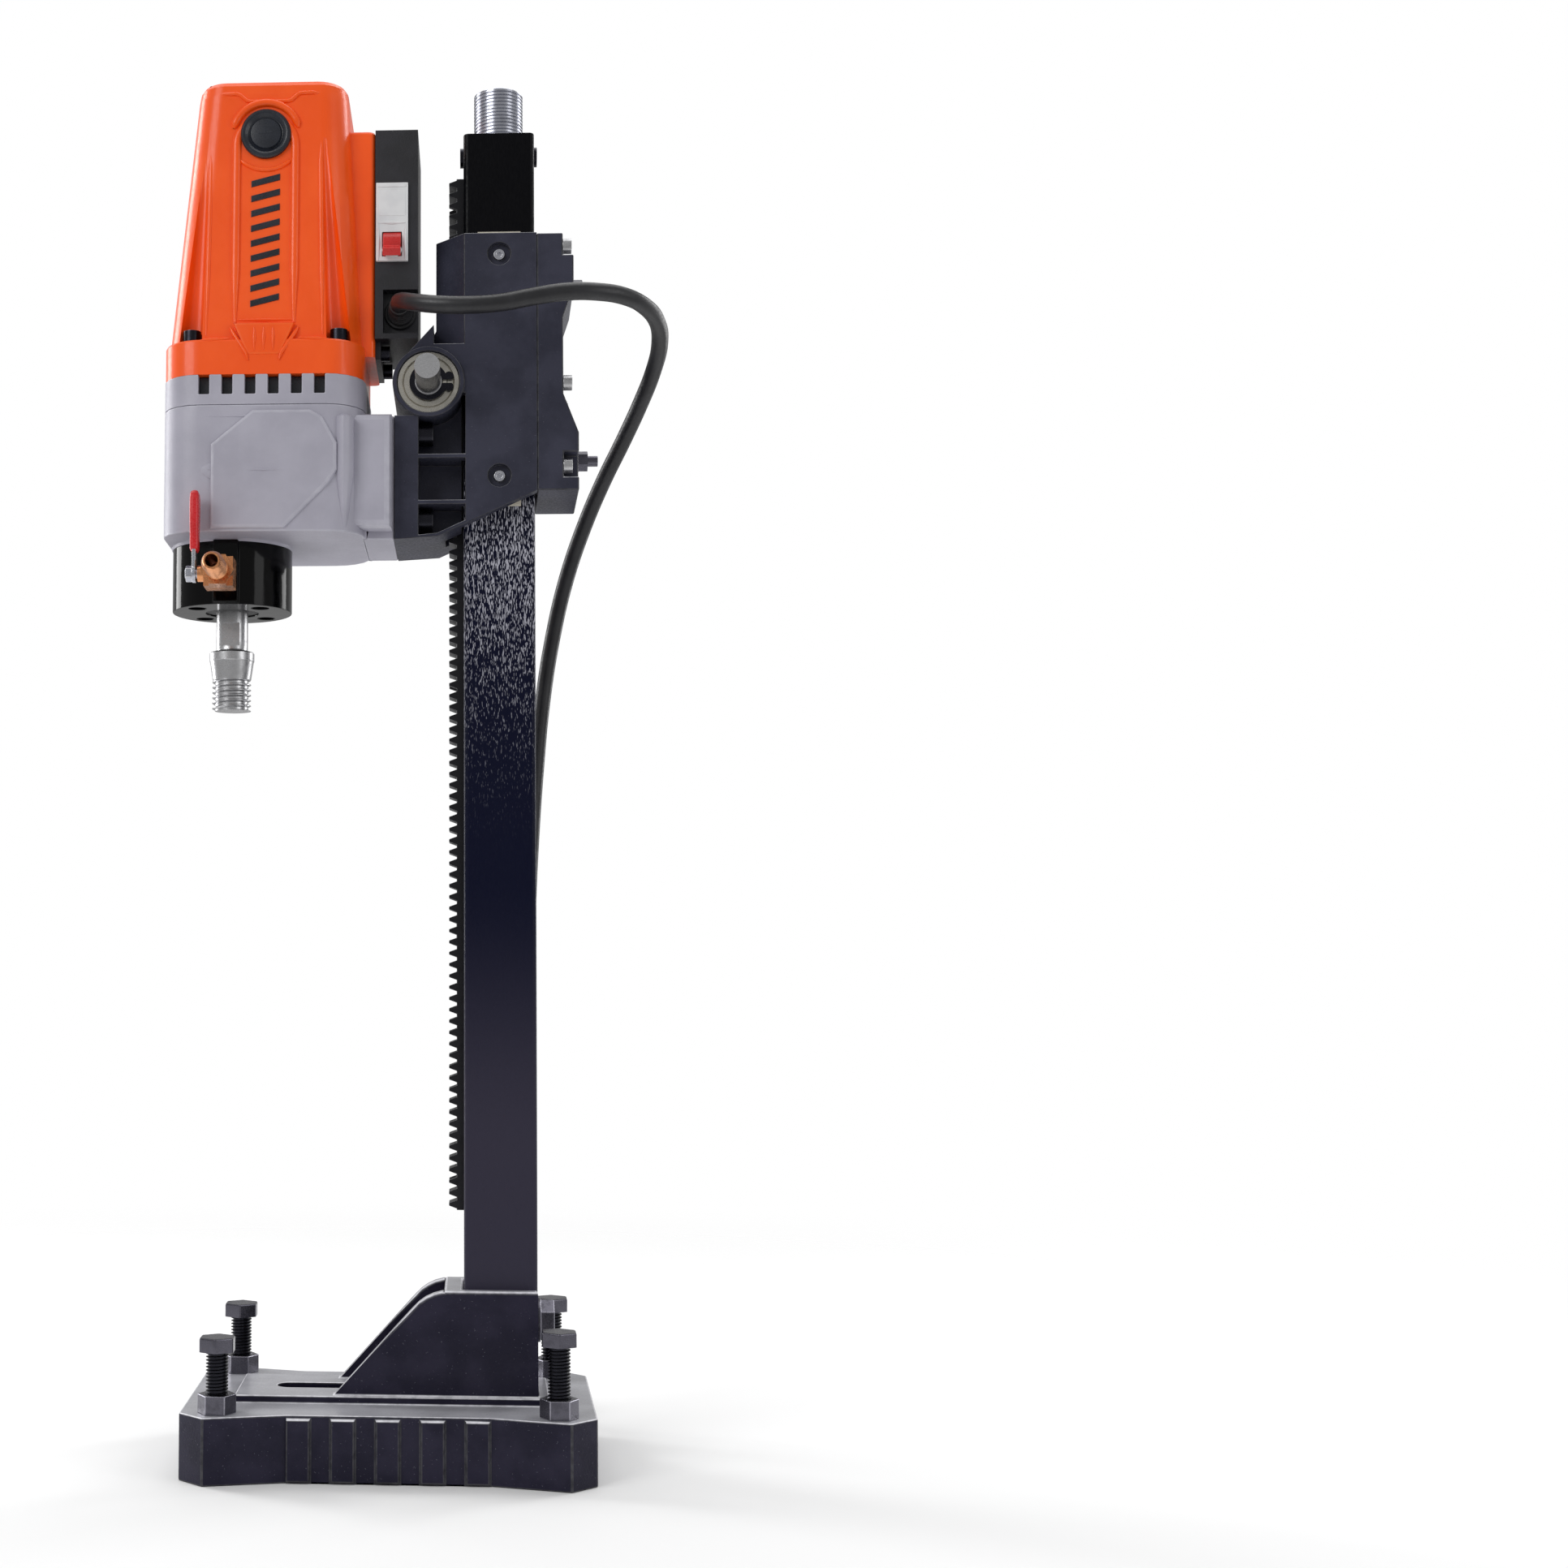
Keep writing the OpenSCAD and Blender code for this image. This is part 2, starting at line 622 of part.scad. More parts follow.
module carriage_body() {
    color("#1f2024") difference() {
        union() {
            difference() {
                side(-half_w, half_w) carriage_outline();
                mirrored_y() side(pocket_y, half_w + 1) window_outline();
                mirrored_y() translate([0, 0, feed_z + 22]) linear_extrude(carriage_up)
                    polygon([[nose_x - 1, nose_y - 1], [nose_x - 1, half_w + 1],
                    [column_x0 + 1.5, half_w + 1]]);
            }
            translate([feed_x, -boss_y, feed_z]) to_y() cylinder(r = boss_r, h = 2 * boss_y);
        }
        block(column_x0 - 1, seam_x + 1, -cavity_y, cavity_y, 0, column_top + 99);
        block(rack_pitch_x - rack_addendum - 2, column_x0, -rack_w / 2 - 1.5, rack_w / 2 + 1.5, 0,
            column_top + 99);
        translate([feed_x, -boss_y - 1, feed_z]) to_y()
            cylinder(r = pinion_r + rack_m + 1, h = 2 * boss_y + 2);
        mirrored_y() translate([feed_x, feed_bearing_y - feed_bearing_w, feed_z]) to_y()
            cylinder(d = feed_bearing_d, h = feed_bearing_w + 9);
        for (z = [upper_pad_z, lower_pad_z]) mirrored_y() translate([column_x, cavity_y - 1, z]) to_y() {
            cylinder(d = pad_screw_d, h = half_w);
            translate([0, 0, half_w - cavity_y + 1 - recess_t]) cylinder(d = recess_d, h = 9);
        }
        for (s = cap_screw_spots) mirrored_y() translate([seam_x - 14, s[1], s[0]]) to_x()
            cylinder(d = cap_screw_d, h = 20);
        for (z = mount_screw_z) mirrored_y() translate([plate_x0 - 1, mount_screw_y, z]) to_x()
            cylinder(d = mount_screw_d + 2 * screw_gap, h = plate_t + 2);
    }
}

module rear_cap_outline() {
    polygon([[seam_x, carriage_top - 0.5], [cap_neck_x, carriage_top - 0.5], [cap_neck_x, carriage_top - 13],
        [cap_back_x, carriage_top - 13], [cap_back_x, stud_upper_z - 8], [cap_neck_x, feed_z + 36],
        [cap_neck_x, feed_z - 7], [cap_back_x + 2.5, stud_lower_z + 9], [cap_back_x + 2.5, cap_bottom],
        [seam_x, cap_bottom]]);
}

module carriage_rear_cap() {
    color("#1f2024") difference() {
        side(-half_w, half_w) rear_cap_outline();
        for (z = [stud_upper_z, stud_lower_z]) {
            block(seam_x - 1, seam_x + pad_t, -rear_pad_y / 2, rear_pad_y / 2, z - pad_z / 2, z + pad_z / 2);
            translate([seam_x, 0, z]) to_x() cylinder(d = stud_d, h = 30);
        }
        for (s = cap_screw_spots) mirrored_y() translate([seam_x - 1, s[1], s[0]]) to_x()
            cylinder(d = cap_screw_d + 2 * screw_gap, h = 30);
        mirrored_y() block(cap_neck_x, cap_back_x + 9, half_w - 10, half_w + 1, cap_screw_spots[2][0] - 7,
            cap_screw_spots[2][0] + 7);
    }
}

module rear_cap_screws() {
    color("#6b6d70") for (s = cap_screw_spots) mirrored_y() translate([cap_neck_x, s[1], s[0]])
        rotate([0, -90, 0]) cap_screw(cap_screw_d, cap_head_d, cap_head_h, cap_neck_x - seam_x + 13);
}

module side_pads() {
    color("#d8d4c4") for (z = [upper_pad_z, lower_pad_z]) mirrored_y() block(column_x - pad_x / 2,
        column_x + pad_x / 2, cavity_y - pad_t, cavity_y, z - pad_z / 2, z + pad_z / 2);
}

module side_pad_screws() {
    l = half_w - cavity_y - recess_t + 2;
    color("#b9babd") for (z = [upper_pad_z, lower_pad_z]) mirrored_y() translate([column_x, cavity_y, z])
        to_y() difference() {
        cylinder(d = pad_screw_d, h = l);
        translate([0, 0, l - 2]) hex(pad_screw_d / 2, 3);
    }
}

module rear_pads() {
    color("#d8d4c4") for (z = [stud_upper_z, stud_lower_z]) block(column_x1 + pad_gap, seam_x + pad_t,
        -rear_pad_y / 2 + 0.1, rear_pad_y / 2 - 0.1, z - pad_z / 2 + 0.1, z + pad_z / 2 - 0.1);
}

module rear_pad_studs() {
    color("#55575c") for (s = [[stud_upper_z, cap_back_x], [stud_lower_z, cap_back_x + 2.5]])
        translate([seam_x + pad_t, 0, s[0]]) to_x() cylinder(d = stud_d, h = s[1] - seam_x - pad_t + 12);
}

module rear_pad_nuts() {
    color("#55575c") for (s = [[stud_upper_z, cap_back_x], [stud_lower_z, cap_back_x + 2.5]])
        translate([s[1], 0, s[0]]) to_x() difference() {
        union() {
            cylinder(d = 12, h = 1.2);
            translate([0, 0, 1.2]) hex(stud_nut_flats, stud_nut_h);
        }
        translate([0, 0, -1]) cylinder(d = stud_d, h = stud_nut_h + 4);
    }
}

module feed_bearings() {
    color("#a9a49a") mirrored_y() translate([feed_x, feed_bearing_y - feed_bearing_w, feed_z]) to_y()
        ring(feed_bearing_d, feed_d + 2 * run_gap, feed_bearing_w);
}

module feed_pinion_shaft() {
    y0 = -boss_y - feed_out;
    color("#a7a8ab") {
        translate([feed_x, y0, feed_z]) to_y() cylinder(d = feed_end_d, h = feed_out + 1);
        translate([feed_x, -boss_y, feed_z]) to_y()
            cylinder(d = feed_d, h = boss_y + feed_bearing_y + feed_far);
        translate([feed_x, -feed_bearing_y + feed_bearing_w, feed_z]) to_y()
            cylinder(d = feed_d + 4, h = 2 * (feed_bearing_y - feed_bearing_w));
        translate([feed_x, -pinion_w / 2, feed_z]) to_y() linear_extrude(pinion_w)
            gear_outline(rack_m, pinion_teeth, rack_slack);
    }
}

module feed_snap_ring() {
    color("#1b1c1f") translate([feed_x, -feed_bearing_y - 0.3 - ring_t, feed_z]) to_y() difference() {
        union() {
            ring(feed_d + 6, feed_d, ring_t);
            for (s = [-1, 1]) translate([feed_d / 2 + 4, s * 3, 0]) cylinder(d = 5, h = ring_t);
        }
        translate([0, -1, -1]) cube([feed_d, 2, ring_t + 2]);
    }
}

module gearbox_mount_screws() {
    color("#1b1c1f") for (z = mount_screw_z) mirrored_y() translate([plate_x1, mount_screw_y, z])
        rotate([0, -90, 0]) cap_screw(mount_screw_d, 13, 8, plate_t + 12);
}

// ---- Gearbox ----
module gearbox_housing() {
    y = gearbox_d / 2;
    x0 = gearbox_x0 + gearbox_wall;
    x1 = gearbox_x1 - gearbox_wall;
    floor_h = 5;
    color("#8f9196") difference() {
        union() {
            difference() {
                rounded_block(gearbox_x0, gearbox_x1, -y, y, gearbox_z0, gearbox_z1, 22);
                rounded_block(x0, x1, -y + gearbox_wall, y - gearbox_wall, gearbox_z0 + floor_h,
                    gearbox_z1 + 1, 18);
            }
            block(gearbox_x1 - 1, plate_x0, -half_w + 1, half_w - 1, plate_bottom, plate_top);
            translate([spindle_x, 0, gearbox_z0 + 1]) cylinder(d = big_bearing_d + 6, h = big_bearing_w + 3);
            translate([lay_x, lay_y, gearbox_z0 + 1])
                cylinder(d = small_bearing_d + 6, h = small_bearing_w + 8);
        }
        translate([spindle_x, 0, gearbox_z0 - 1]) cylinder(d = big_journal_d + 8, h = 9);
        translate([spindle_x, 0, gearbox_z0 + 4]) cylinder(d = big_bearing_d, h = big_bearing_w + 1);
        translate([lay_x, lay_y, gearbox_z0 + 9]) cylinder(d = small_bearing_d, h = small_bearing_w + 1);
        for (z = mount_screw_z) mirrored_y() translate([plate_x0 - 12, mount_screw_y, z]) to_x()
            cylinder(d = mount_screw_d, h = 13);
    }
}

module gearbox_cover() {
    y = gearbox_d / 2;
    w = gearbox_wall;
    mid_x = (gearbox_x0 + gearbox_x1) / 2;
    small_boss = small_bearing_d + 6;
    color("#8f9196") difference() {
        union() {
            difference() {
                rounded_block(gearbox_x0, gearbox_x1, -y, y, gearbox_z1, cover_z1, 22);
                rounded_block(gearbox_x0 + w, gearbox_x1 - w, -y + w, y - w, gearbox_z1 + cover_plate,
                    cover_z1 + 1, 18);
            }
            translate([spindle_x, 0, gearbox_z1 - 4.5]) cylinder(d = small_boss, h = 6);
            translate([lay_x, lay_y, gearbox_z1 - 4.5]) cylinder(d = small_boss, h = 6);
            translate([motor_x, 0, gearbox_z1 + 1]) cylinder(d = 38, h = cover_plate + 9);
        }
        for (p = [[spindle_x, 0], [lay_x, lay_y]]) translate([p[0], p[1], gearbox_z1 - 5.5])
            cylinder(d = small_bearing_d, h = small_bearing_w + 1);
        translate([motor_x, 0, gearbox_z1 - 6]) cylinder(d = 14, h = 40);
        translate([motor_x, 0, gearbox_z1 + cover_plate]) cylinder(d = 32, h = 30);
        for (i = [-2.5:1:2.5]) block(mid_x + i * 12.8 - 3, mid_x + i * 12.8 + 3, -y - 1, y + 1, cover_z1 - 11,
            cover_z1 + 1);
        for (i = [-1.5:1:1.5]) block(gearbox_x1 - w - 1, gearbox_x1 + 1, i * 9 - 2, i * 9 + 2, cover_z1 - 13,
            cover_z1 - 3);
    }
}

// ---- Motor ----
module motor_form(inset, z0, z1) {
    y = gearbox_d / 2 - 3.5 - inset;
    tx = motor_top_w / 2 - inset;
    ty = motor_top_d / 2 - inset;
    hull() {
        rounded_block(gearbox_x0 + 3 + inset, gearbox_x1 - 2 - inset, -y, y, z0, z0 + 1, 20 - inset);
        rounded_block(motor_x + 3 - tx, motor_x + 3 + tx, -ty, ty, z1 - 1, z1, 14 - inset);
    }
}

module motor_housing() {
    y = gearbox_d / 2 - 0.5;
    flange_z = motor_z0 + flange_h;
    color("#f2501e") difference() {
        union() {
            rounded_block(gearbox_x0 + 0.5, gearbox_x1 - 0.5, -y, y, motor_z0, flange_z, 21.5);
            motor_form(0, flange_z - 1, motor_z1);
            block(shelf_x0 - 20, box_x0, box_y0 + 1, box_y1 - 1, box_z0 - box_flange, shelf_z1);
        }
        difference() {
            union() {
                motor_form(motor_wall, motor_z0 - 2, motor_z1 - motor_wall);
                block(shelf_x0 - 20 + motor_wall, box_x0 - motor_wall, box_y0 + 5, box_y1 - 5, box_z0 - 2,
                    shelf_z1 - 4);
            }
            difference() {
                union() {
                    block(gearbox_x0, box_x0, -2.5, 2.5, stator_z, stator_z + stator_h);
                    block(motor_x - 2.5, motor_x + 2.5, -y, y, stator_z, stator_z + stator_h);
                }
                translate([motor_x, 0, stator_z - 1]) cylinder(d = stator_d, h = stator_h + 2);
            }
            difference() {
                translate([motor_x, 0, motor_z1 - motor_wall - 12]) cylinder(d = small_bearing_d + 6, h = 20);
                translate([motor_x, 0, motor_z1 - motor_wall - 13]) cylinder(d = small_bearing_d,
                    h = small_bearing_w + 1);
                translate([motor_x, 0, motor_z1 - motor_wall - 6]) cylinder(d = journal_d + 4, h = 5);
            }
        }
        translate([motor_x, -y - 9, brush_z]) to_y() cylinder(d = brush_cap_d, h = 2 * y + 18);
        for (x = [-1, 1], s = [-1, 1])
            translate([motor_x + x * motor_screw_x, s * motor_screw_y, motor_z0 - 1]) {
            cylinder(d = 6, h = flange_h + 2);
            translate([0, 0, flange_h + 1]) cylinder(d = 10 + 1, h = 40);
        }
        for (y = box_screw_y) translate([box_x0 - box_screw_l, y, box_z0 - box_flange / 2]) to_x()
            cylinder(d = box_screw_d, h = box_screw_l + 1);
    }
}

module motor_screws() {
    color("#1b1c1f") for (x = [-1, 1], s = [-1, 1])
        translate([motor_x + x * motor_screw_x, s * motor_screw_y, motor_z0 + flange_h]) mirror([0, 0, 1])
        cap_screw(6, 10, 7, flange_h);
}

module stator() {
    slot_n = 12;
    color("#7c7e83") translate([motor_x, 0, stator_z]) difference() {
        cylinder(d = stator_d, h = stator_h);
        translate([0, 0, -1]) cylinder(d = stator_bore, h = stator_h + 2);
        for (i = [0:slot_n - 1]) rotate([0, 0, i * 360 / slot_n]) translate([stator_bore / 2 + 5, -2.5, -1])
            cube([5, 5, stator_h + 2]);
    }
}

module armature() {
    pinion_z0 = fast_z - 2;
    shaft_z0 = gearbox_z1;
    top = motor_z1 - motor_wall - 6;
    color("#8a6a3c") translate([motor_x, 0, 0]) {
        translate([0, 0, pinion_z0]) rotate([0, 0, lay_to_motor + 180]) linear_extrude(fast_gear_w + 4)
            gear_outline(fast_m, armature_teeth, hidden_slack);
        translate([0, 0, pinion_z0 + fast_gear_w + 3.9])
            cylinder(d = 9.5, h = shaft_z0 - pinion_z0 - fast_gear_w);
        translate([0, 0, shaft_z0]) cylinder(d = 12, h = top - shaft_z0 - small_bearing_w);
        translate([0, 0, stator_z]) cylinder(d = core_d, h = stator_h);
        translate([0, 0, brush_z - commutator_h / 2]) cylinder(d = commutator_d, h = commutator_h);
        translate([0, 0, top - small_bearing_w - 6]) cylinder(d = journal_d, h = small_bearing_w + 5.5);
    }
}

module cooling_fan() {
    blade_n = 11;
    color("#2d2e33") translate([motor_x, 0, motor_z0 + 4]) {
        difference() {
            union() {
                cylinder(d = 22, h = 14);
                cylinder(d = 74, h = 2);
            }
            translate([0, 0, -1]) cylinder(d = 12, h = 20);
        }
        for (i = [0:blade_n - 1]) rotate([0, 0, i * 360 / blade_n]) translate([10.5, -0.8, 1.5])
            cube([25, 1.6, 11]);
    }
}

module armature_bearings() {
    color("#b9babd") {
        translate([motor_x, 0, gearbox_z1 + cover_plate]) ring(32, 12 + 2 * run_gap, 10);
        translate([motor_x, 0, motor_z1 - motor_wall - 12]) ring(small_bearing_d, journal_d + 2 * run_gap,
            small_bearing_w);
    }
}

module carbon_brushes() {
    reach = motor_top_d / 2 - 6;
    color("#2b2b2d") mirrored_y() block(motor_x - brush_w / 2, motor_x + brush_w / 2,
        commutator_d / 2 + 0.3, reach, brush_z - brush_w / 2, brush_z + brush_w / 2);
}

module brush_caps() {
    y = motor_top_d / 2 + 0.5;
    color("#2b2d33") mirrored_y() translate([motor_x, y - 6.5, brush_z]) to_y() difference() {
        cylinder(d = brush_cap_d, h = brush_cap_t + 5);
        translate([0, 0, brush_cap_t + 3.5]) ring(20, 17, 3);
    }
}

module layshaft() {
    z0 = gearbox_z0 + 9;
    z1 = gearbox_z1 - 4.5 + small_bearing_w;
    color("#a7a8ab") translate([lay_x, lay_y, 0]) {
        translate([0, 0, z0]) cylinder(d = journal_d, h = z1 - z0);
        translate([0, 0, z0 + small_bearing_w + 1]) cylinder(d = 14, h = z1 - z0 - 2 * small_bearing_w - 2);
        translate([0, 0, slow_z - 2]) rotate([0, 0, lay_to_spindle]) linear_extrude(slow_gear_w + 4)
            gear_outline(slow_m, layshaft_pinion_teeth, hidden_slack);
    }
}

module layshaft_gear() {
    color("#a7a8ab") translate([lay_x, lay_y, fast_z]) difference() {
        rotate([0, 0, lay_to_motor + 180 / layshaft_teeth]) linear_extrude(fast_gear_w)
            gear_outline(fast_m, layshaft_teeth, hidden_slack);
        translate([0, 0, -1]) cylinder(d = 14, h = fast_gear_w + 2);
    }
}

module layshaft_bearings() {
    color("#b9babd") for (z = [gearbox_z0 + 9, gearbox_z1 - 4.5]) translate([lay_x, lay_y, z])
        ring(small_bearing_d, journal_d + 2 * run_gap, small_bearing_w);
}

// ---- Spindle and water collar ----
module spindle() {
    flange_z = neck_z0 - spindle_flange_h;
    top = gearbox_z1 - 4.5 + small_bearing_w;
    bearing_z = gearbox_z0 + 4;
    color("#9c9da1") difference() {
        translate([spindle_x, 0, 0]) rotate_extrude() polygon([[0, spindle_tip],
            [spindle_d / 2 - 1, spindle_tip], [spindle_d / 2, spindle_tip + 1],
            [spindle_d / 2, thread_z1], [flange_collar_d / 2, flange_z],
            [flange_collar_d / 2, neck_z0], [neck_d / 2, neck_z0], [neck_d / 2, bearing_z],
            [big_journal_d / 2, bearing_z], [big_journal_d / 2, bearing_z + big_bearing_w],
            [big_journal_d / 2 + 2, bearing_z + big_bearing_w], [big_journal_d / 2 + 2, slow_z - 1],
            [big_journal_d / 2, slow_z - 1], [big_journal_d / 2, slow_z + slow_gear_w + 2],
            [spindle_top_d / 2, slow_z + slow_gear_w + 2], [spindle_top_d / 2, gearbox_z1 - 5],
            [journal_d / 2, gearbox_z1 - 5], [journal_d / 2, top], [0, top]]);
        translate([spindle_x, 0, spindle_tip - 1]) cylinder(d = water_bore, h = valve_z - spindle_tip + 5);
        translate([spindle_x, -neck_d, valve_z]) to_y() cylinder(d = 6, h = 2 * neck_d);
        for (s = [-1, 1]) translate([spindle_x + s * neck_d / 2 + (s < 0 ? -9 : 0), -20, flange_z + 0.5])
            cube([9, 40, 12]);
    }
}

module spindle_gear() {
    color("#a7a8ab") translate([spindle_x, 0, slow_z]) difference() {
        rotate([0, 0, lay_to_spindle + 180 + 180 / spindle_teeth]) linear_extrude(slow_gear_w)
            gear_outline(slow_m, spindle_teeth, hidden_slack);
        translate([0, 0, -1]) cylinder(d = big_journal_d, h = slow_gear_w + 2);
    }
}

module spindle_bearings() {
    color("#b9babd") {
        translate([spindle_x, 0, gearbox_z0 + 4])
            ring(big_bearing_d, big_journal_d + 2 * run_gap, big_bearing_w);
        translate([spindle_x, 0, gearbox_z1 - 4.5])
            ring(small_bearing_d, journal_d + 2 * run_gap, small_bearing_w);
    }
}

module water_collar() {
    color("#17181b") difference() {
        union() {
            translate([spindle_x, 0, collar_z0]) cylinder(d = collar_d, h = collar_h);
            block(spindle_x - 7, spindle_x + 7, -collar_d / 2 - 1.5, -collar_d / 2 + 5, collar_z0 + 1,
                collar_z1 - 1);
        }
        translate([spindle_x, 0, collar_z0 - 1]) cylinder(d = collar_seat_d, h = collar_h + 2);
        translate([spindle_x, -collar_d / 2 - 3, valve_z]) to_y() cylinder(d = 10, h = collar_d / 2);
        for (a = [45:90:315]) translate([spindle_x + 25 * cos(a), 25 * sin(a), collar_z0 - 1])
            cylinder(d = 10, h = 9);
    }
}

module water_seals() {
    color("#0f0f10") for (z = [collar_z0 + 1, collar_z1 - 9]) translate([spindle_x, 0, z])
        ring(collar_seat_d, neck_d + 2 * run_gap, 7);
}

module valve_body() {
    color("#b8803f") translate([spindle_x, valve_y, valve_z]) difference() {
        union() {
            translate([0, valve_r, 0]) to_y() cylinder(d = 10, h = -valve_y - valve_r - collar_seat_d / 2 - 1);
            translate([-valve_r, -valve_r, -valve_r]) cube(2 * valve_r);
            translate([0, -valve_r, 0]) to_y() mirror([0, 0, 1]) hex(16, 6);
            translate([-valve_r - 4, 0, 0]) to_x() cylinder(d = 9, h = 5);
        }
        translate([0, -40, 0]) to_y() cylinder(d = 7, h = 80);
        sphere(d = 12);
        translate([-30, 0, 0]) to_x() cylinder(d = stem_d + 2 * run_gap, h = 30);
    }
}

module hose_tail() {
    y0 = valve_y - valve_r - 6;
    color("#b8803f") translate([spindle_x, y0, valve_z]) to_y() mirror([0, 0, 1]) difference() {
        rotate_extrude() polygon(concat([[3.5, 0], [tail_d / 2 - 1, 0]],
            [for (i = [0:2]) let (z = 4 + i * (tail_l - 6) / 3) each
                [[tail_d / 2 - 1, z], [tail_d / 2, z], [tail_d / 2 - 1.2, z + (tail_l - 6) / 3 - 0.5]]],
            [[tail_d / 2 - 1.6, tail_l], [3.5, tail_l]]));
    }
}

module valve_ball() {
    color("#c9cacc") translate([spindle_x, valve_y, valve_z]) difference() {
        union() {
            sphere(d = 11.4);
            translate([lever_x - spindle_x - 5, 0, 0]) to_x()
                cylinder(d = stem_d, h = spindle_x - lever_x + 2);
        }
        translate([0, 0, -10]) cylinder(d = 6.5, h = 20);
    }
}

module lever_outline(grow) {
    w = 4 + grow;
    translate([valve_y, valve_z]) circle(r = 5 + grow);
    translate([valve_y - w, valve_z]) square([2 * w, lever_l]);
}

module valve_lever() {
    color("#b9babd") difference() {
        translate([lever_x - 1, 0, 0]) rotate([90, 0, 90]) linear_extrude(2) lever_outline(0);
        translate([lever_x - 2, valve_y, valve_z]) to_x() cylinder(d = stem_d, h = 4);
    }
}

module valve_lever_sleeve() {
    z0 = valve_z + 12;
    color("#c8141c") difference() {
        rounded_block(lever_x - 2.5, lever_x + 2.5, valve_y - 5.2, valve_y + 5.2, z0,
            valve_z + lever_l + 2, 2);
        block(lever_x - 1, lever_x + 1, valve_y - 4, valve_y + 4, z0 - 1, valve_z + lever_l);
    }
}

module valve_lever_nut() {
    color("#b9babd") translate([lever_x - 1, valve_y, valve_z]) rotate([0, -90, 0]) difference() {
        hex(8, 3.5);
        translate([0, 0, -1]) cylinder(d = stem_d, h = 6);
    }
}

// ---- Switch box ----
module switch_box() {
    w = box_wall;
    color("#26272b") difference() {
        union() {
            block(box_x0, box_x1, box_y0, box_y1, box_z0, box_z1);
            block(box_x0, box_x0 + box_wall, -24, 24, box_z0 - box_flange, box_z0 + 1);
        }
        for (y = box_screw_y) translate([box_x0 - 1, y, box_z0 - box_flange / 2]) to_x()
            cylinder(d = box_screw_d + 2 * screw_gap, h = box_wall + 2);
        block(box_x0 - 1, box_x1 - w, box_y0 + w, box_y1 - w, box_z0 + w + 29, box_z1 - w);
        block(box_x0 - 1, box_x1 - w, box_y0 + gland_recess + w + 1, box_y1 - w, box_z0 + w, box_z0 + w + 30);
        block(breaker_x - breaker_w / 2, breaker_x + breaker_w / 2, box_y0 - 1, box_y0 + w + 1,
            breaker_z - breaker_h / 2, breaker_z + breaker_h / 2);
        block(gland_x - gland_d / 2 - 0.5, box_x1 + 1, box_y0 - 1, box_y0 + gland_recess, gland_z - 13,
            gland_z + 12);
        translate([gland_x, box_y0, gland_z]) to_y()
            cylinder(d = gland_d - 4 + 2 * screw_gap, h = 20);
    }
}

module switch_box_screws() {
    color("#1b1c1f") for (y = box_screw_y) translate([box_x0 + box_wall, y, box_z0 - box_flange / 2])
        rotate([0, -90, 0]) cap_screw(box_screw_d, 8.5, 5, box_wall + box_screw_l - 1);
}

module breaker() {
    x0 = breaker_x - breaker_w / 2;
    x1 = breaker_x + breaker_w / 2;
    color("#e4e5e6") difference() {
        union() {
            block(x0, x1, breaker_y0, box_y0 + box_wall, breaker_z - breaker_h / 2, breaker_z + breaker_h / 2);
            block(x0, x1, box_y0 + box_wall, box_y0 + box_wall + 44, breaker_z - 34, breaker_z + 34);
        }
        translate([breaker_x - 5.5, breaker_y0 + 5, toggle_z]) to_x() cylinder(d = toggle_d + 1, h = 11);
    }
}

module breaker_toggle() {
    color("#d3252a") translate([breaker_x - 5, breaker_y0 + 5, toggle_z]) to_x() {
        cylinder(d = toggle_d, h = 10);
        rotate([0, 0, 30]) translate([-2.2, -13, 0]) cube([4.4, 8.5, 10]);
    }
}

module cable_gland() {
    color("#101012") translate([gland_x, box_y0 + gland_recess, gland_z]) rotate([90, 0, 0]) difference() {
        union() {
            cylinder(d = gland_d, h = 2);
            translate([0, 0, -4]) cylinder(d = gland_d - 4, h = 5);
            rotate_extrude() polygon([[0, 0], [7.2, 0], [7.2, 4], [5.8, 18], [0, 18]]);
        }
        translate([0, 0, -20]) cylinder(d = cable_d + 0.8, h = 60);
    }
}

// ---- Supply cable ----
module cord_tube() color("#1a1b1e") swept_tube(cord_route, cable_d, cord_sides);

module cord_end() color("#1a1b1e") swept_tube(cord_end_route, cable_d, cord_sides);

module cord_coil() {
    color("#1a1b1e") translate([coil_x, coil_y, 0]) rotate_extrude() translate([coil_r0 - cable_d / 2, 0])
        square([coil_r1 - coil_r0 + cable_d, cable_d]);
}

module plug() {
    y0 = plug_y1 - plug_l;
    color("#141417") rounded_block(plug_x - plug_w / 2, plug_x + plug_w / 2, y0, plug_y1, 0, plug_t, 6);
    color("#c9cacc") for (x = [-7, 7]) block(plug_x + x - 0.8, plug_x + x + 0.8, y0 - pin_l, y0,
        plug_t / 2 - 3, plug_t / 2 + 3);
}

base_casting();
levelling_nuts();
levelling_screw(-1, -1);  // levelling_screw_front_left
levelling_screw(-1, 1);  // levelling_screw_rear_left
levelling_screw(1, -1);  // levelling_screw_front_right
levelling_screw(1, 1);  // levelling_screw_rear_right
column_tube();
column_bolt();
column_nut();
rack();
rack_screws();
column_head_nut();
stop_screws();
jack_screw();
carriage_body();
carriage_rear_cap();
rear_cap_screws();
side_pads();
side_pad_screws();
rear_pads();
rear_pad_studs();
rear_pad_nuts();
feed_bearings();
feed_pinion_shaft();
feed_snap_ring();
gearbox_mount_screws();
gearbox_housing();
gearbox_cover();
motor_housing();
motor_screws();
stator();
carbon_brushes();
brush_caps();
armature();
cooling_fan();
armature_bearings();
layshaft();
layshaft_gear();
layshaft_bearings();
spindle();
spindle_gear();
spindle_bearings();
water_collar();
water_seals();
valve_body();
hose_tail();
valve_ball();
valve_lever();
valve_lever_sleeve();
valve_lever_nut();
switch_box();
switch_box_screws();
breaker();
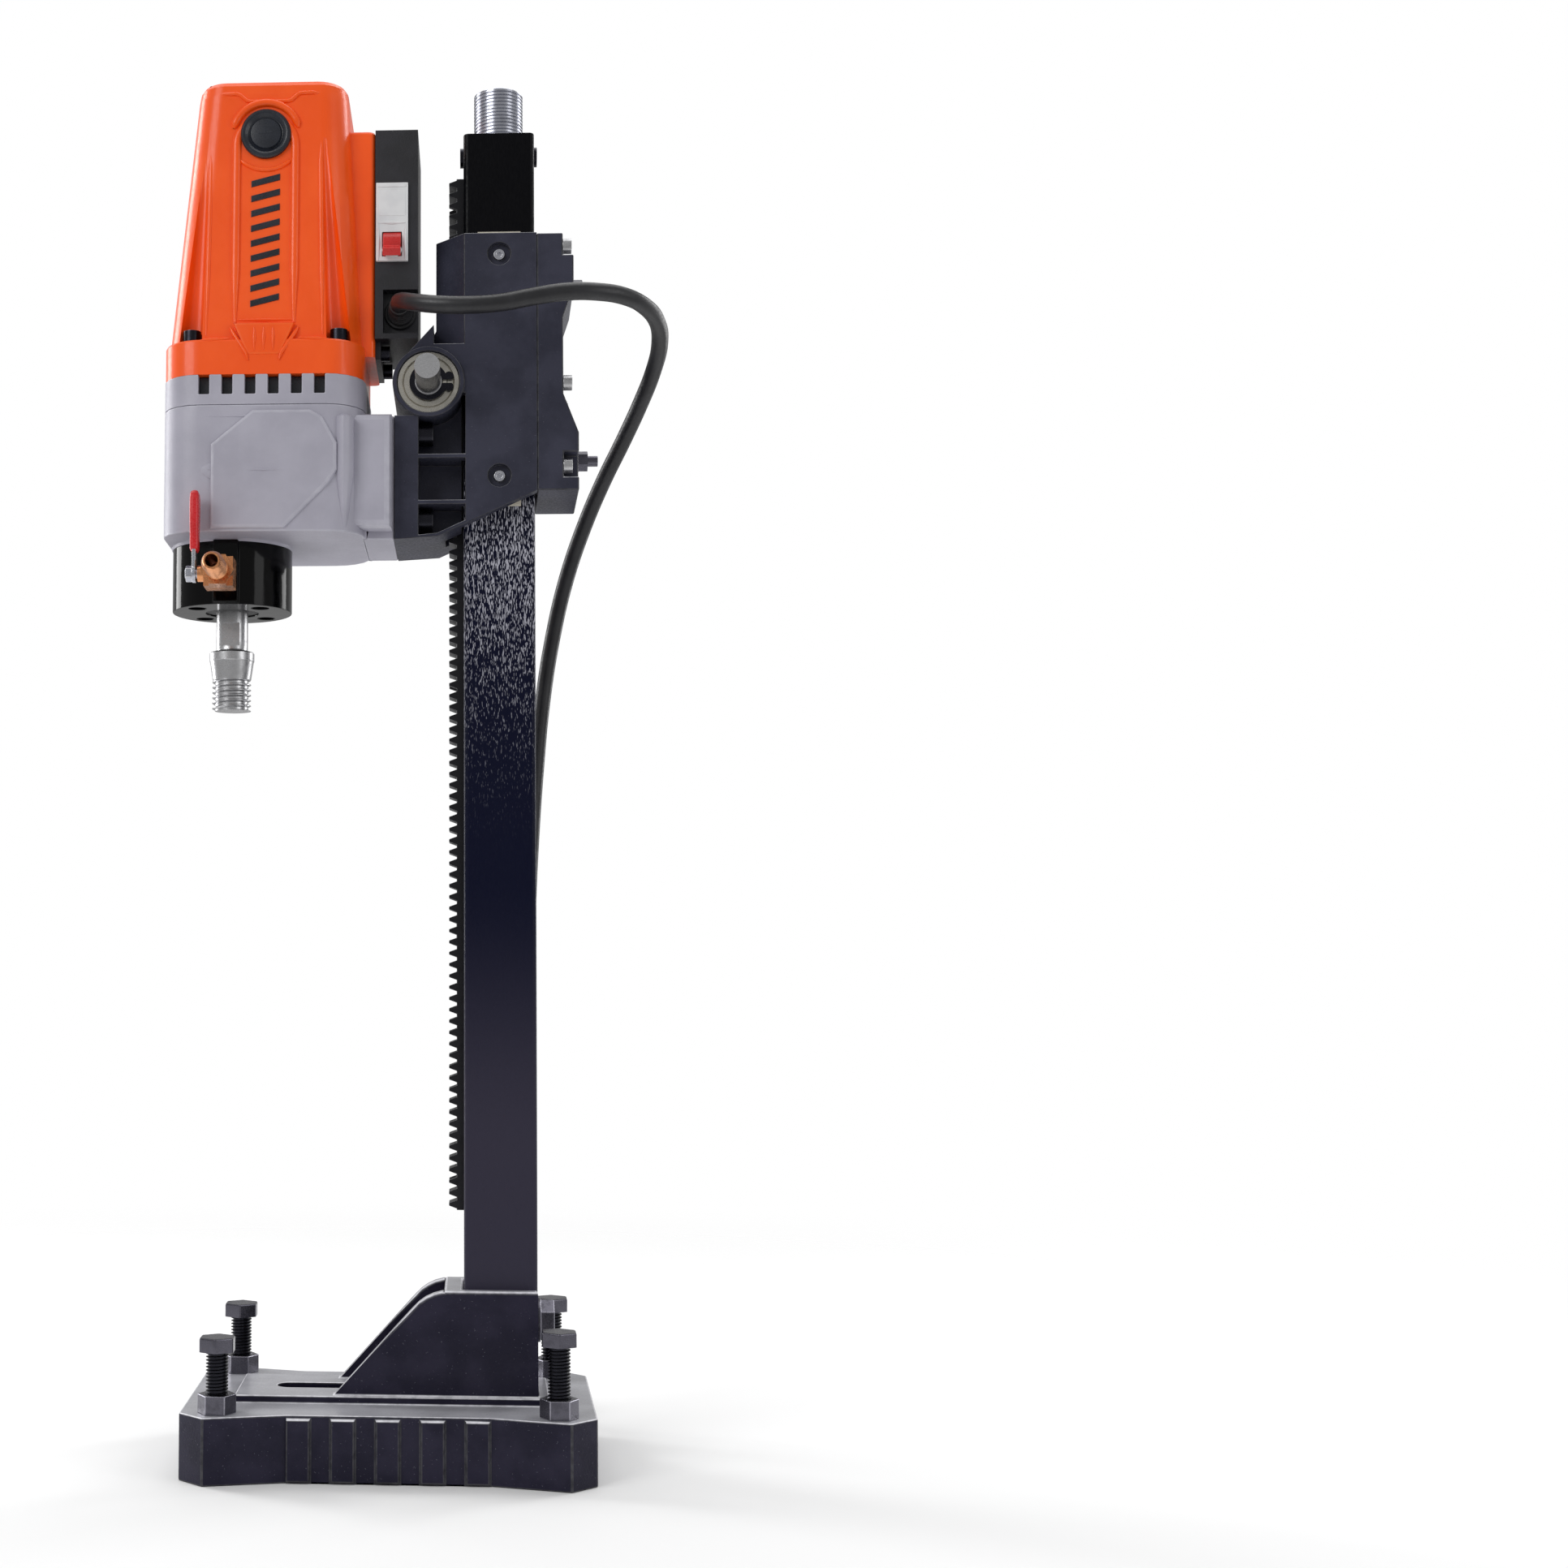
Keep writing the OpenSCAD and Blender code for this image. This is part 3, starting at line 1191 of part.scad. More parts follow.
breaker_toggle();
cable_gland();
cord_tube();
cord_coil();
cord_end();
plug();
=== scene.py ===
import json
import math

import bmesh
import bpy
from mathutils import Matrix, Vector

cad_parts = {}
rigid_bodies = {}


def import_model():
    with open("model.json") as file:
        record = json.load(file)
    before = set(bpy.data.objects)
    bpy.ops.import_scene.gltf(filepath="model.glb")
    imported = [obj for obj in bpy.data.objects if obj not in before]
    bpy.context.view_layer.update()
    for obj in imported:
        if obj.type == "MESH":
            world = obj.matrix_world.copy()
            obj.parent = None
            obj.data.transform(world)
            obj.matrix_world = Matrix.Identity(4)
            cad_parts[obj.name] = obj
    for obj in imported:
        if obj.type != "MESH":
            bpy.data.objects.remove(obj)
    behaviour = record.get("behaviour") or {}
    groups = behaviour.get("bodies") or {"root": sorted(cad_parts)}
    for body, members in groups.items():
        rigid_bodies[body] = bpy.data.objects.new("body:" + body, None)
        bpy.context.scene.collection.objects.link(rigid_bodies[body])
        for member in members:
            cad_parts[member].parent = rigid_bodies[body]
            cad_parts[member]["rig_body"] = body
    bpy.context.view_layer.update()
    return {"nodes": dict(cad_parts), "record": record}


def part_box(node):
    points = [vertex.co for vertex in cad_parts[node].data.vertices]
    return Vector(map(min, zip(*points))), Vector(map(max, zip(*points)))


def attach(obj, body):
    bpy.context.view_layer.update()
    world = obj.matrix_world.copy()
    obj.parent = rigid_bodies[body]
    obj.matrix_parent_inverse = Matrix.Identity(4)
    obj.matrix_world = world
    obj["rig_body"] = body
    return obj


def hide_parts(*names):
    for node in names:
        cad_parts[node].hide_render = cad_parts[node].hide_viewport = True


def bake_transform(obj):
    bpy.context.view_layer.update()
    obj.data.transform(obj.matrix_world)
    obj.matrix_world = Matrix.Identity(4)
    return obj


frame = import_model()
NODES = frame["nodes"]
NODE_SLOTS = {part["node"]: part["material_slot"] for part in frame["record"]["subparts"]}
MM = 0.001
PER_METRE = 1000
SAME_SPOT = 1e-6


# ---------------------------------------------------------------- camera


def make_camera():
    """A long lens standing low in front of the rig, looking a little up and to the left."""
    pitch = math.radians(4.60)
    yaw = math.radians(-3.17)
    roll = math.radians(0.20)
    ahead = Vector((math.sin(yaw) * math.cos(pitch), math.cos(yaw) * math.cos(pitch), math.sin(pitch)))
    level = Vector((math.cos(yaw), -math.sin(yaw), 0))
    upright = level.cross(ahead)
    right = math.cos(roll) * level + math.sin(roll) * upright
    up = math.cos(roll) * upright - math.sin(roll) * level
    camera = bpy.data.objects.new("camera", bpy.data.cameras.new("camera"))
    turn = Matrix((right, up, -ahead)).transposed().to_4x4()
    place = Vector((47.2, -1194.0, 268.6)) * MM
    camera.matrix_world = Matrix.Translation(place) @ turn
    camera.data.sensor_width = 36
    camera.data.lens = 48.75
    camera.data.shift_x = 0.2707
    camera.data.shift_y = 0.0088
    camera.data.clip_start = 0.01
    bpy.context.scene.collection.objects.link(camera)
    bpy.context.scene.camera = camera


make_camera()


# ---------------------------------------------------------------- shader tools


class Wire:
    """An output socket; arithmetic on it adds Math nodes."""

    def __init__(self, finish, socket):
        self.finish = finish
        self.socket = socket

    def math(self, operation, *others):
        return self.finish.node("Math", {"operation": operation}, dict(enumerate((self, *others))))

    def __add__(self, other):
        return self.math("ADD", other)

    def __sub__(self, other):
        return self.math("SUBTRACT", other)

    def __rsub__(self, other):
        return self.finish.node("Math", {"operation": "SUBTRACT"}, {0: other, 1: self})

    def __mul__(self, other):
        return self.math("MULTIPLY", other)

    def ramp(self, low, high, start=0.0, end=1.0):
        """Goes smoothly from start to end as this value goes from low to high."""
        settings = {"interpolation_type": "SMOOTHSTEP"}
        return self.finish.node(
            "MapRange",
            settings,
            {"Value": self, "From Min": low, "From Max": high, "To Min": start, "To Max": end},
        )


NOISE_ROUGHNESS = 0.55


class Finish:
    """A procedural material around one Principled shader."""

    def __init__(self, name, **constants):
        self.material = bpy.data.materials.new(name)
        self.material.use_nodes = True
        self.tree = self.material.node_tree
        self.shader = self.tree.nodes["Principled BSDF"]
        for key, value in constants.items():
            self.set(key.replace("_", " ").title().replace("Ior", "IOR"), value)

    def put(self, socket, value):
        if isinstance(value, Wire):
            self.tree.links.new(value.socket, socket)
        elif isinstance(value, tuple) and socket.type == "RGBA":
            socket.default_value = (*value, 1) if len(value) == 3 else value
        else:
            socket.default_value = value

    def set(self, name, value):
        self.put(self.shader.inputs[name], value)

    def node(self, kind, settings=None, inputs=None, output=0):
        node = self.tree.nodes.new("ShaderNode" + kind)
        for key, value in (settings or {}).items():
            setattr(node, key, value)
        for key, value in (inputs or {}).items():
            self.put(node.inputs[key], value)
        return Wire(self, node.outputs[output])

    def place(self, stretch):
        """Object coordinates, stretched."""
        here = self.node("TexCoord", output="Object")
        return self.node("Mapping", None, {"Vector": here, "Scale": stretch})

    def noise(self, size, detail, stretch=(1, 1, 1)):
        """Noise with lumps about size millimetres across."""
        inputs = {"Vector": self.place(stretch), "Scale": 1 / (size * MM)}
        inputs.update({"Detail": detail, "Roughness": NOISE_ROUGHNESS})
        return self.node("TexNoise", None, inputs)

    def height(self):
        """The height over the floor, in millimetres."""
        here = self.node("TexCoord", output="Object")
        return self.node("SeparateXYZ", None, {0: here}, output="Z") * PER_METRE

    def edge_wear_and_painted_light(self):
        """1 on the narrow faces that round off an edge; the finishes paint wear, painted highlight and
        painted shade there.
        """
        return self.node("Attribute", {"attribute_name": "edge"}, output="Fac")

    def radius(self):
        """Distance from the origin in millimetres."""
        place = self.node("TexCoord", output="Object")
        return self.node("VectorMath", {"operation": "LENGTH"}, {0: place}, "Value") * PER_METRE

    def upward(self):
        """How squarely a face looks up: 1 for a level top, 0 for a wall."""
        facing = self.node("NewGeometry", output="Normal")
        return self.node("SeparateXYZ", None, {"Vector": facing}, "Z")

    def mix(self, factor, first, second):
        node = self.tree.nodes.new("ShaderNodeMix")
        node.data_type = "RGBA"
        self.put(node.inputs[0], factor)
        self.put(node.inputs[6], first)
        self.put(node.inputs[7], second)
        return Wire(self, node.outputs[2])

    def bump(self, height, depth):
        """Bump whose full height is depth millimetres."""
        inputs = {"Height": height, "Distance": depth * MM, "Strength": 1.0}
        self.set("Normal", self.node("Bump", None, inputs))


# ---------------------------------------------------------------- finishes


def cast_paint(name, dark, light, grain, edge, top_dust_and_sheen):
    """Black paint on rough castings: grain, light specks, pale tops that are part a dusting and part painted
    sheen, scuffed edges lightened mostly where they face up as part wear and part painted highlight, and
    painted shade on rounded edges that face sideways or down.
    """
    finish = Finish(name, coat_roughness=0.22)
    fine = finish.noise(grain, 4)
    broad = finish.noise(26, 3)
    specks = finish.noise(1.1, 1).ramp(0.70, 0.78)
    colour = finish.mix(broad.ramp(0.35, 0.65), dark, light)
    colour = finish.mix(specks * 0.45, colour, (0.12, 0.12, 0.15))
    upward = finish.upward().ramp(0.25, 0.95)
    # Pale tops: part a dusting, part a painted sheen of light from above.
    dust_and_sheen = upward * broad.ramp(0.25, 0.75, top_dust_and_sheen * 0.75, top_dust_and_sheen)
    colour = finish.mix(dust_and_sheen, colour, (0.50, 0.50, 0.54))
    # Lighter rounded edges, mostly where they face up: part wear, part painted highlight.
    wear_and_highlight = finish.edge_wear_and_painted_light() * finish.noise(5, 3).ramp(0.30, 0.62, 0.45, 1.0) * edge
    wear_and_highlight = wear_and_highlight * (upward * 0.93 + 0.07)
    # Rounded edges that face sideways or down turn near black: painted shade.
    painted_edge_shade = finish.edge_wear_and_painted_light() * (1 - finish.upward().ramp(0.05, 0.3)) * 0.8
    colour = finish.mix(painted_edge_shade, colour, (0.003, 0.003, 0.006))
    finish.set("Base Color", finish.mix(wear_and_highlight, colour, (0.85, 0.85, 0.90)))
    finish.set("Roughness", fine.ramp(0.3, 0.7, 0.30, 0.48) - wear_and_highlight * 0.1)
    finish.set("Coat Weight", upward * 0.8)
    finish.set("Specular IOR Level", 0.18)
    finish.bump(fine + finish.noise(grain * 3, 2) * 0.8, 0.12)
    return finish.material


def brushed_black():
    """Satin black steel, worn to bright lengthwise streaks where the carriage runs."""
    finish = Finish("brushed_black")
    streaks = finish.noise(0.55, 1, (1, 1, 0.20))
    fine = finish.noise(0.5, 2)
    height = finish.height()
    run = height.ramp(330, 510) * (1 - height.ramp(522, 572))
    bright = (streaks + run * 0.14 - 0.14).ramp(0.50, 0.60) * (run * 0.55)
    # Lighter towards the bottom, darker up the middle and near black towards the top.
    black = finish.mix(height.ramp(170, 320), (0.034, 0.031, 0.050), (0.003, 0.004, 0.017))
    black = finish.mix(height.ramp(480, 600), black, (0.001, 0.001, 0.002))
    finish.set("Base Color", finish.mix(bright, black, (0.75, 0.75, 0.85)))
    finish.set("Roughness", streaks.ramp(0.3, 0.7, 0.28, 0.46))
    finish.set("Specular IOR Level", 0.10)
    finish.bump(streaks + fine * 0.5, 0.04)
    return finish.material


def orange_moulding():
    """Semi-gloss orange plastic with a faint orange-peel surface and a painted highlight on its rounded
    edges.
    """
    finish = Finish("orange_moulding", coat_roughness=0.14)
    peel = finish.noise(2.2, 2)
    broad = finish.noise(40, 3)
    colour = finish.mix(broad.ramp(0.35, 0.65), (0.95, 0.094, 0.004), (1.0, 0.108, 0.006))
    # Rounded edges a lighter orange: painted highlight.
    edge = finish.edge_wear_and_painted_light() * 0.35
    finish.set("Base Color", finish.mix(edge, colour, (0.98, 0.16, 0.03)))
    finish.set("Roughness", peel.ramp(0.3, 0.7, 0.30, 0.40))
    finish.set("Coat Weight", broad.ramp(0.3, 0.7, 0.20, 0.35))
    finish.set("Specular IOR Level", 0.3)
    finish.bump(peel + finish.noise(0.7, 2) * 0.4, 0.03)
    return finish.material


def grey_casting():
    """Grey painted die casting with a slight sand texture, faint stains, and lighter rounded edges that are
    part wear and part painted highlight.
    """
    finish = Finish("grey_casting")
    fine = finish.noise(0.9, 4)
    broad = finish.noise(30, 4)
    colour = finish.mix(broad.ramp(0.3, 0.7), (0.365, 0.355, 0.42), (0.425, 0.415, 0.485))
    # Rounded edges lighter in patches: part wear, part painted highlight.
    edge = finish.edge_wear_and_painted_light() * finish.noise(6, 2).ramp(0.3, 0.7, 0.3, 0.9)
    finish.set("Base Color", finish.mix(edge * 0.35, colour, (0.62, 0.62, 0.68)))
    finish.set("Roughness", fine.ramp(0.3, 0.7, 0.36, 0.50))
    finish.bump(fine + finish.noise(4, 2) * 0.7, 0.06)
    return finish.material


def moulded(name, dark, light, rough, grain=0.9, depth=0.04):
    """Plain moulded plastic or rubber with a fine spark texture and a painted highlight on its rounded edges.
    """
    finish = Finish(name)
    fine = finish.noise(grain, 3)
    broad = finish.noise(18, 3)
    # Rounded edges lighter: painted highlight.
    edge = finish.edge_wear_and_painted_light() * 0.25
    colour = finish.mix(broad.ramp(0.35, 0.65), dark, light)
    brighter = tuple(min(1.0, 1.5 * part + 0.05) for part in light)
    finish.set("Base Color", finish.mix(edge, colour, brighter))
    finish.set("Roughness", fine.ramp(0.3, 0.7, rough - 0.06, rough + 0.08))
    finish.bump(fine, depth)
    return finish.material


def turned(name, colour, rough, stretch=(1, 1, 6), depth=0.012, dirt=0.25):
    """Bare or plated metal with fine tool marks across its length, a little grime, and lighter rounded edges
    that are part wear and part painted highlight.
    """
    finish = Finish(name, metallic=1.0)
    marks = finish.noise(0.8, 3, stretch)
    grime = finish.noise(7, 4).ramp(0.50, 0.72) * dirt
    dull = tuple(0.25 * part for part in colour)
    bright = tuple(min(1.0, 1.15 * part) for part in colour)
    shade = finish.mix(marks.ramp(0.3, 0.7), colour, bright)
    # Rounded edges lighter: part wear, part painted highlight.
    shade = finish.mix(finish.edge_wear_and_painted_light() * 0.7, shade, tuple(min(0.8, 2.5 * part + 0.1) for part in colour))
    finish.set("Base Color", finish.mix(grime, shade, dull))
    finish.set("Roughness", marks.ramp(0.3, 0.7, rough - 0.06, rough + 0.08) + grime * 0.5)
    finish.bump(marks, depth)
    return finish.material


def gloss_black_enamel():
    """Thick gloss enamel with a faint ripple and a few dull smears."""
    finish = Finish("gloss_black_enamel")
    ripple = finish.noise(9, 2)
    smear = finish.noise(14, 4, (1, 1, 0.4)).ramp(0.55, 0.75)
    finish.set("Base Color", finish.mix(smear, (0.0008, 0.0008, 0.001), (0.004, 0.004, 0.005)))
    finish.set("Roughness", smear * 0.20 + 0.10)
    finish.set("Specular IOR Level", 0.16)
    finish.bump(ripple, 0.06)
    return finish.material


FINISHES = {
    "base_paint": cast_paint("base_paint", (0.008, 0.007, 0.020), (0.017, 0.015, 0.033), 1.3, 0.9, 0.85),
    "carriage_paint": cast_paint(
        "carriage_paint", (0.030, 0.031, 0.048), (0.044, 0.045, 0.068), 1.3, 0.80, 0.45
    ),
    "column_black": brushed_black(),
    "rack_black": turned("rack_black", (0.028, 0.028, 0.031), 0.38),
    "dark_zinc": turned("dark_zinc", (0.10, 0.097, 0.118), 0.26),
    "steel": turned("steel", (0.46, 0.46, 0.47), 0.30),
    "bright_steel": turned("bright_steel", (0.43, 0.44, 0.49), 0.24),
    "bearing_steel": turned("bearing_steel", (0.48, 0.46, 0.41), 0.24, (6, 1, 6)),
    "black_oxide": turned("black_oxide", (0.022, 0.022, 0.028), 0.28),
    "pad_plastic": moulded("pad_plastic", (0.55, 0.51, 0.42), (0.62, 0.58, 0.48), 0.5),
    "cast_aluminium": grey_casting(),
    "orange_plastic": orange_moulding(),
    "black_plastic": moulded("black_plastic", (0.006, 0.008, 0.014), (0.012, 0.015, 0.024), 0.32),
    "box_plastic": moulded("box_plastic", (0.008, 0.008, 0.011), (0.014, 0.014, 0.019), 0.44, 0.8, 0.10),
    "lamination": turned("laminations", (0.30, 0.27, 0.24), 0.42, (1, 1, 14), 0.03),
    "carbon": moulded("carbon", (0.02, 0.02, 0.02), (0.04, 0.04, 0.04), 0.6),
    "gloss_black": gloss_black_enamel(),
    "seal_rubber": moulded("seal_rubber", (0.008, 0.008, 0.009), (0.016, 0.016, 0.018), 0.55),
    "brass": turned("brass", (0.66, 0.29, 0.13), 0.24, (1, 5, 1), 0.02, 0.6),
    "red_grip": moulded("red_grip", (0.52, 0.010, 0.014), (0.64, 0.014, 0.020), 0.28, 1.4, 0.02),
    "breaker_white": moulded("breaker_white", (0.66, 0.67, 0.69), (0.76, 0.77, 0.78), 0.42, 0.6, 0.01),
    "toggle_red": moulded("toggle_red", (0.52, 0.016, 0.014), (0.66, 0.022, 0.020), 0.30, 0.8, 0.01),
    "cable_rubber": moulded("cable_rubber", (0.008, 0.008, 0.010), (0.015, 0.015, 0.018), 0.40, 1.2, 0.03),
    "plug_rubber": moulded("plug_rubber", (0.010, 0.010, 0.011), (0.020, 0.020, 0.022), 0.5),
}


# ---------------------------------------------------------------- mesh tools


SMOOTH_BELOW = 32


def finish_piece(name, bm, slot, body, nodes=(), angle=SMOOTH_BELOW):
    """Turns a bmesh into a smooth-shaded piece of the object."""
    mesh = bpy.data.meshes.new(name)
    bmesh.ops.recalc_face_normals(bm, faces=bm.faces)
    bm.to_mesh(mesh)
    bm.free()
    return place_piece(name, mesh, slot, body, nodes, angle)


def place_piece(name, mesh, slot, body, nodes=(), angle=SMOOTH_BELOW):
    """Shades a mesh, gives it its finish and its body, and lets it stand for CAD nodes."""
    mesh.shade_smooth()
    mesh.set_sharp_from_angle(angle=math.radians(angle))
    piece = bpy.data.objects.new(name, mesh)
    bpy.context.scene.collection.objects.link(piece)
    mesh.materials.append(FINISHES[slot])
    weighted = piece.modifiers.new("weighted", "WEIGHTED_NORMAL")
    weighted.keep_sharp = True
    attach(piece, body)
    if nodes:
        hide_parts(*nodes)
    return piece


SHARP = math.radians(30)
FLAT = math.radians(0.8)


def refined(node, width, wide):
    """A copy of a CAD node whose sharp edges are rounded off by width millimetres.

    wide is None, or a height and a larger width for the convex edges above that height.
    """
    source = NODES[node]
    bm = bmesh.new()
    bm.from_mesh(source.data)
    bmesh.ops.remove_doubles(bm, verts=bm.verts, dist=10 * SAME_SPOT)
    bmesh.ops.dissolve_limit(bm, angle_limit=FLAT, verts=bm.verts, edges=bm.edges)
    mark = bm.faces.layers.float.new("edge")
    corners = [edge for edge in bm.edges if len(edge.link_faces) == 2]
    corners = [edge for edge in corners if edge.calc_face_angle(0) > SHARP]
    bold = [edge for edge in corners if wide and min(vert.co.z for vert in edge.verts) > wide[0] * MM]
    bold = [edge for edge in bold if edge.is_convex]
    if bold:
        corners = [edge for edge in corners if edge not in bold]
        rimmed = bmesh.ops.bevel(
            bm, geom=bold, offset=wide[1] * MM, affect="EDGES", segments=4, profile=0.5, material=-1
        )
        for face in rimmed["faces"]:
            face[mark] = 1.0
        corners = [edge for edge in corners if edge.is_valid]
    rounded = bmesh.ops.bevel(
        bm,
        geom=corners,
        offset=width * MM,
        offset_type="OFFSET",
        affect="EDGES",
        segments=2,
        profile=0.5,
        material=-1,
        clamp_overlap=False,
    )
    for face in rounded["faces"]:
        face[mark] = 1.0
    mesh = bpy.data.meshes.new(node + "_shape")
    bm.to_mesh(mesh)
    bm.free()
    place_piece(node + "_shape", mesh, NODE_SLOTS[node], source["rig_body"], [node])


# ---------------------------------------------------------------- relief on cast and moulded walls


def frame_at(spot, ahead, out, width, height):
    """Places a unit circle across a path: width along the wall, height out of it."""
    across = ahead.cross(out).normalized()
    turn = Matrix((across * width / 2, out * height, ahead.normalized())).transposed().to_4x4()
    return Matrix.Translation(spot) @ turn


RIDGE_SIDES = 12
TIP_SHARE = 0.35


def ridge(bm, path, out, width, height):
    """A rounded ridge swept along points in millimetres, half sunk in its wall, slim at both ends."""
    spots = [Vector(point) * MM for point in path]
    out = Vector(out)
    made = bmesh.ops.create_circle(bm, cap_ends=True, segments=RIDGE_SIDES, radius=1)
    face = made["verts"][0].link_faces[0]
    before = Matrix.Identity(4)
    for index, spot in enumerate(spots):
        last = spots[max(index - 1, 0)]
        after = spots[min(index + 1, len(spots) - 1)]
        end = TIP_SHARE if index in (0, len(spots) - 1) else 1.0
        here = frame_at(spot, after - last, out, width * MM * end, height * MM * end)
        if index:
            grown = bmesh.ops.extrude_face_region(bm, geom=[face])["geom"]
            bmesh.ops.delete(bm, geom=[face], context="FACES_ONLY")
            face = [part for part in grown if isinstance(part, bmesh.types.BMFace)][0]
        bmesh.ops.transform(bm, matrix=here @ before.inverted(), verts=list(face.verts))
        before = here


def arc(centre, radius, start, end, steps):
    """Points round a circle in the X-Z plane, from start to end degrees."""
    points = []
    for step in range(steps + 1):
        angle = math.radians(start + (end - start) * step / steps)
        points.append((centre[0] + radius * math.cos(angle), centre[1] + radius * math.sin(angle)))
    return points


def plate(bm, outline, depth, rise, bevel=0.6):
    """A flat plate on a near wall: an X-Z outline from Y = depth out to Y = depth - rise."""
    corners = [bm.verts.new(Vector((x, depth, z)) * MM) for x, z in outline]
    face = bm.faces.new(corners)
    grown = bmesh.ops.extrude_face_region(bm, geom=[face])["geom"]
    verts = [part for part in grown if isinstance(part, bmesh.types.BMVert)]
    bmesh.ops.translate(bm, verts=verts, vec=Vector((0, -rise, 0)) * MM)
    top = [part for part in grown if isinstance(part, bmesh.types.BMFace)][0]
    bmesh.ops.recalc_face_normals(bm, faces=bm.faces)
    edges = list(top.edges)
    mark = bm.faces.layers.float.get("edge") or bm.faces.layers.float.new("edge")
    rounded = bmesh.ops.bevel(
        bm, geom=edges, offset=bevel * MM, affect="EDGES", segments=2, profile=0.5, material=-1
    )
    for face in rounded["faces"]:
        face[mark] = 1.0


def both_sides(bm):
    """Adds a copy mirrored to the far side of the rig."""
    copied = bmesh.ops.duplicate(bm, geom=bm.verts[:] + bm.edges[:] + bm.faces[:])["geom"]
    verts = [part for part in copied if isinstance(part, bmesh.types.BMVert)]
    faces = [part for part in copied if isinstance(part, bmesh.types.BMFace)]
    bmesh.ops.scale(bm, vec=(1, -1, 1), verts=verts)
    bmesh.ops.reverse_faces(bm, faces=faces)


def rounded_face(bm, x0, x1, y0, y1, z, radius, segments):
    """A flat face with round corners."""
    corners = [(x0, y0), (x1, y0), (x1, y1), (x0, y1)]
    verts = [bm.verts.new(Vector((x, y, z)) * MM) for x, y in corners]
    bm.faces.new(verts)
    bmesh.ops.bevel(
        bm, geom=verts, offset=radius * MM, affect="VERTICES", segments=segments, profile=0.5, material=-1
    )


def tower(bm, sections, radius, segments=8):
    """Stacks rounded rectangles (z, x0, x1, y half) upwards into one closed shell."""
    z, x0, x1, y = sections[0]
    known = set(bm.faces)
    rounded_face(bm, x0, x1, -y, y, z, radius, segments)
    face = [part for part in bm.faces if part not in known][0]
    for section in sections[1:]:
        grown = bmesh.ops.extrude_face_region(bm, geom=[face])["geom"]
        face = [part for part in grown if isinstance(part, bmesh.types.BMFace)][0]
        new_z, new_x0, new_x1, new_y = section
        wide = (new_x1 - new_x0) / (x1 - x0)
        deep = new_y / y
        for vert in face.verts:
            place = vert.co / MM
            place.x = new_x0 + (place.x - x0) * wide
            place.y *= deep
            place.z = new_z
            vert.co = place * MM
        x0, x1, y = new_x0, new_x1, new_y


MOTOR_X = -70
BRUSH_Z = 733.2
FOOT_Z = 614
SHOULDER_Z = 757
HEAD_Z = 765.2
FOOT_X = (-124.5, -16.5)
SHOULDER_X = (-109.8, -24.5)
MOTOR_CORNER = 20


def motor_wall(z):
    """Y of the motor's near wall, which leans back as it rises."""
    return -48 + 4 * (z - FOOT_Z) / (HEAD_Z - FOOT_Z)


def on_motor(points):
    """Lays X-Z points on the motor's near wall and round its rounded corners."""
    spots = []
    for x, z in points:
        share = (z - FOOT_Z) / (SHOULDER_Z - FOOT_Z)
        left = FOOT_X[0] + (SHOULDER_X[0] - FOOT_X[0]) * share + MOTOR_CORNER
        right = FOOT_X[1] + (SHOULDER_X[1] - FOOT_X[1]) * share - MOTOR_CORNER
        past = min(max(left - x, x - right, 0), MOTOR_CORNER - 1)
        sunk = MOTOR_CORNER - math.sqrt(MOTOR_CORNER**2 - past**2)
        spots.append((x, motor_wall(z) + sunk, z))
    return spots


def make_motor_shell():
    """Foot flange, tapered body and the shelf that carries the switch box."""
    bm = bmesh.new()
    tower(bm, [(595.2, -127, -15, 51), (613.9, -127, -15, 51), (614.8, -126.6, -15.4, 50.6),
               (615.2, -125.8, -16.2, 49.8)], 21.5)
    tower(bm, [(610.2, -60, -9.5, 30), (738.6, -60, -9.5, 30), (739.7, -59.5, -10.0, 29.5),
               (740.2, -58.6, -10.9, 28.6)], 3, 3)
    finish_piece("motor_foot", bm, "orange_plastic", "carriage", ["motor_housing"])
    bm = bmesh.new()
    sections = [(FOOT_Z, *FOOT_X, 48), (700, -115.7, -21.3, 45.7), (SHOULDER_Z, *SHOULDER_X, 44.2),
                (762, -109.0, -25.0, 43.8), (764.4, -107.6, -26.4, 42.4), (HEAD_Z, -105.4, -28.6, 40.2)]
    tower(bm, sections, MOTOR_CORNER)
    body = finish_piece("motor_body", bm, "orange_plastic", "carriage")
    carve(body, groove_cutter())


GROOVE_LENGTH = 116
GROOVE_RADII = (7.4, 1.2)
GROOVE_FOOT = (40.5, 43.5, 615.3)
GROOVE_TIP = (33.0, 45.6, 731)


def groove_cutter():
    """Four tapered fingers: the grooves that lead a key down to the motor's screws."""
    bm = bmesh.new()
    for side in (-1, 1):
        for face in (-1, 1):
            made = bmesh.ops.create_cone(
                bm,
                cap_ends=True,
                segments=40,
                radius1=GROOVE_RADII[0] * MM,
                radius2=GROOVE_RADII[1] * MM,
                depth=GROOVE_LENGTH * MM,
            )
            foot = Vector((MOTOR_X + side * GROOVE_FOOT[0], face * GROOVE_FOOT[1], GROOVE_FOOT[2]))
            tip = Vector((MOTOR_X + side * GROOVE_TIP[0], face * GROOVE_TIP[1], GROOVE_TIP[2]))
            lean = (tip - foot) / (tip.z - foot.z)
            shear = Matrix(((1, 0, lean.x, 0), (0, 1, lean.y, 0), (0, 0, 1, 0), (0, 0, 0, 1)))
            middle = Matrix.Translation((foot + tip) / 2 * MM)
            bmesh.ops.transform(bm, matrix=middle @ shear, verts=made["verts"])
    bmesh.ops.recalc_face_normals(bm, faces=bm.faces)
    mesh = bpy.data.meshes.new("cutter")
    bm.to_mesh(mesh)
    bm.free()
    return mesh


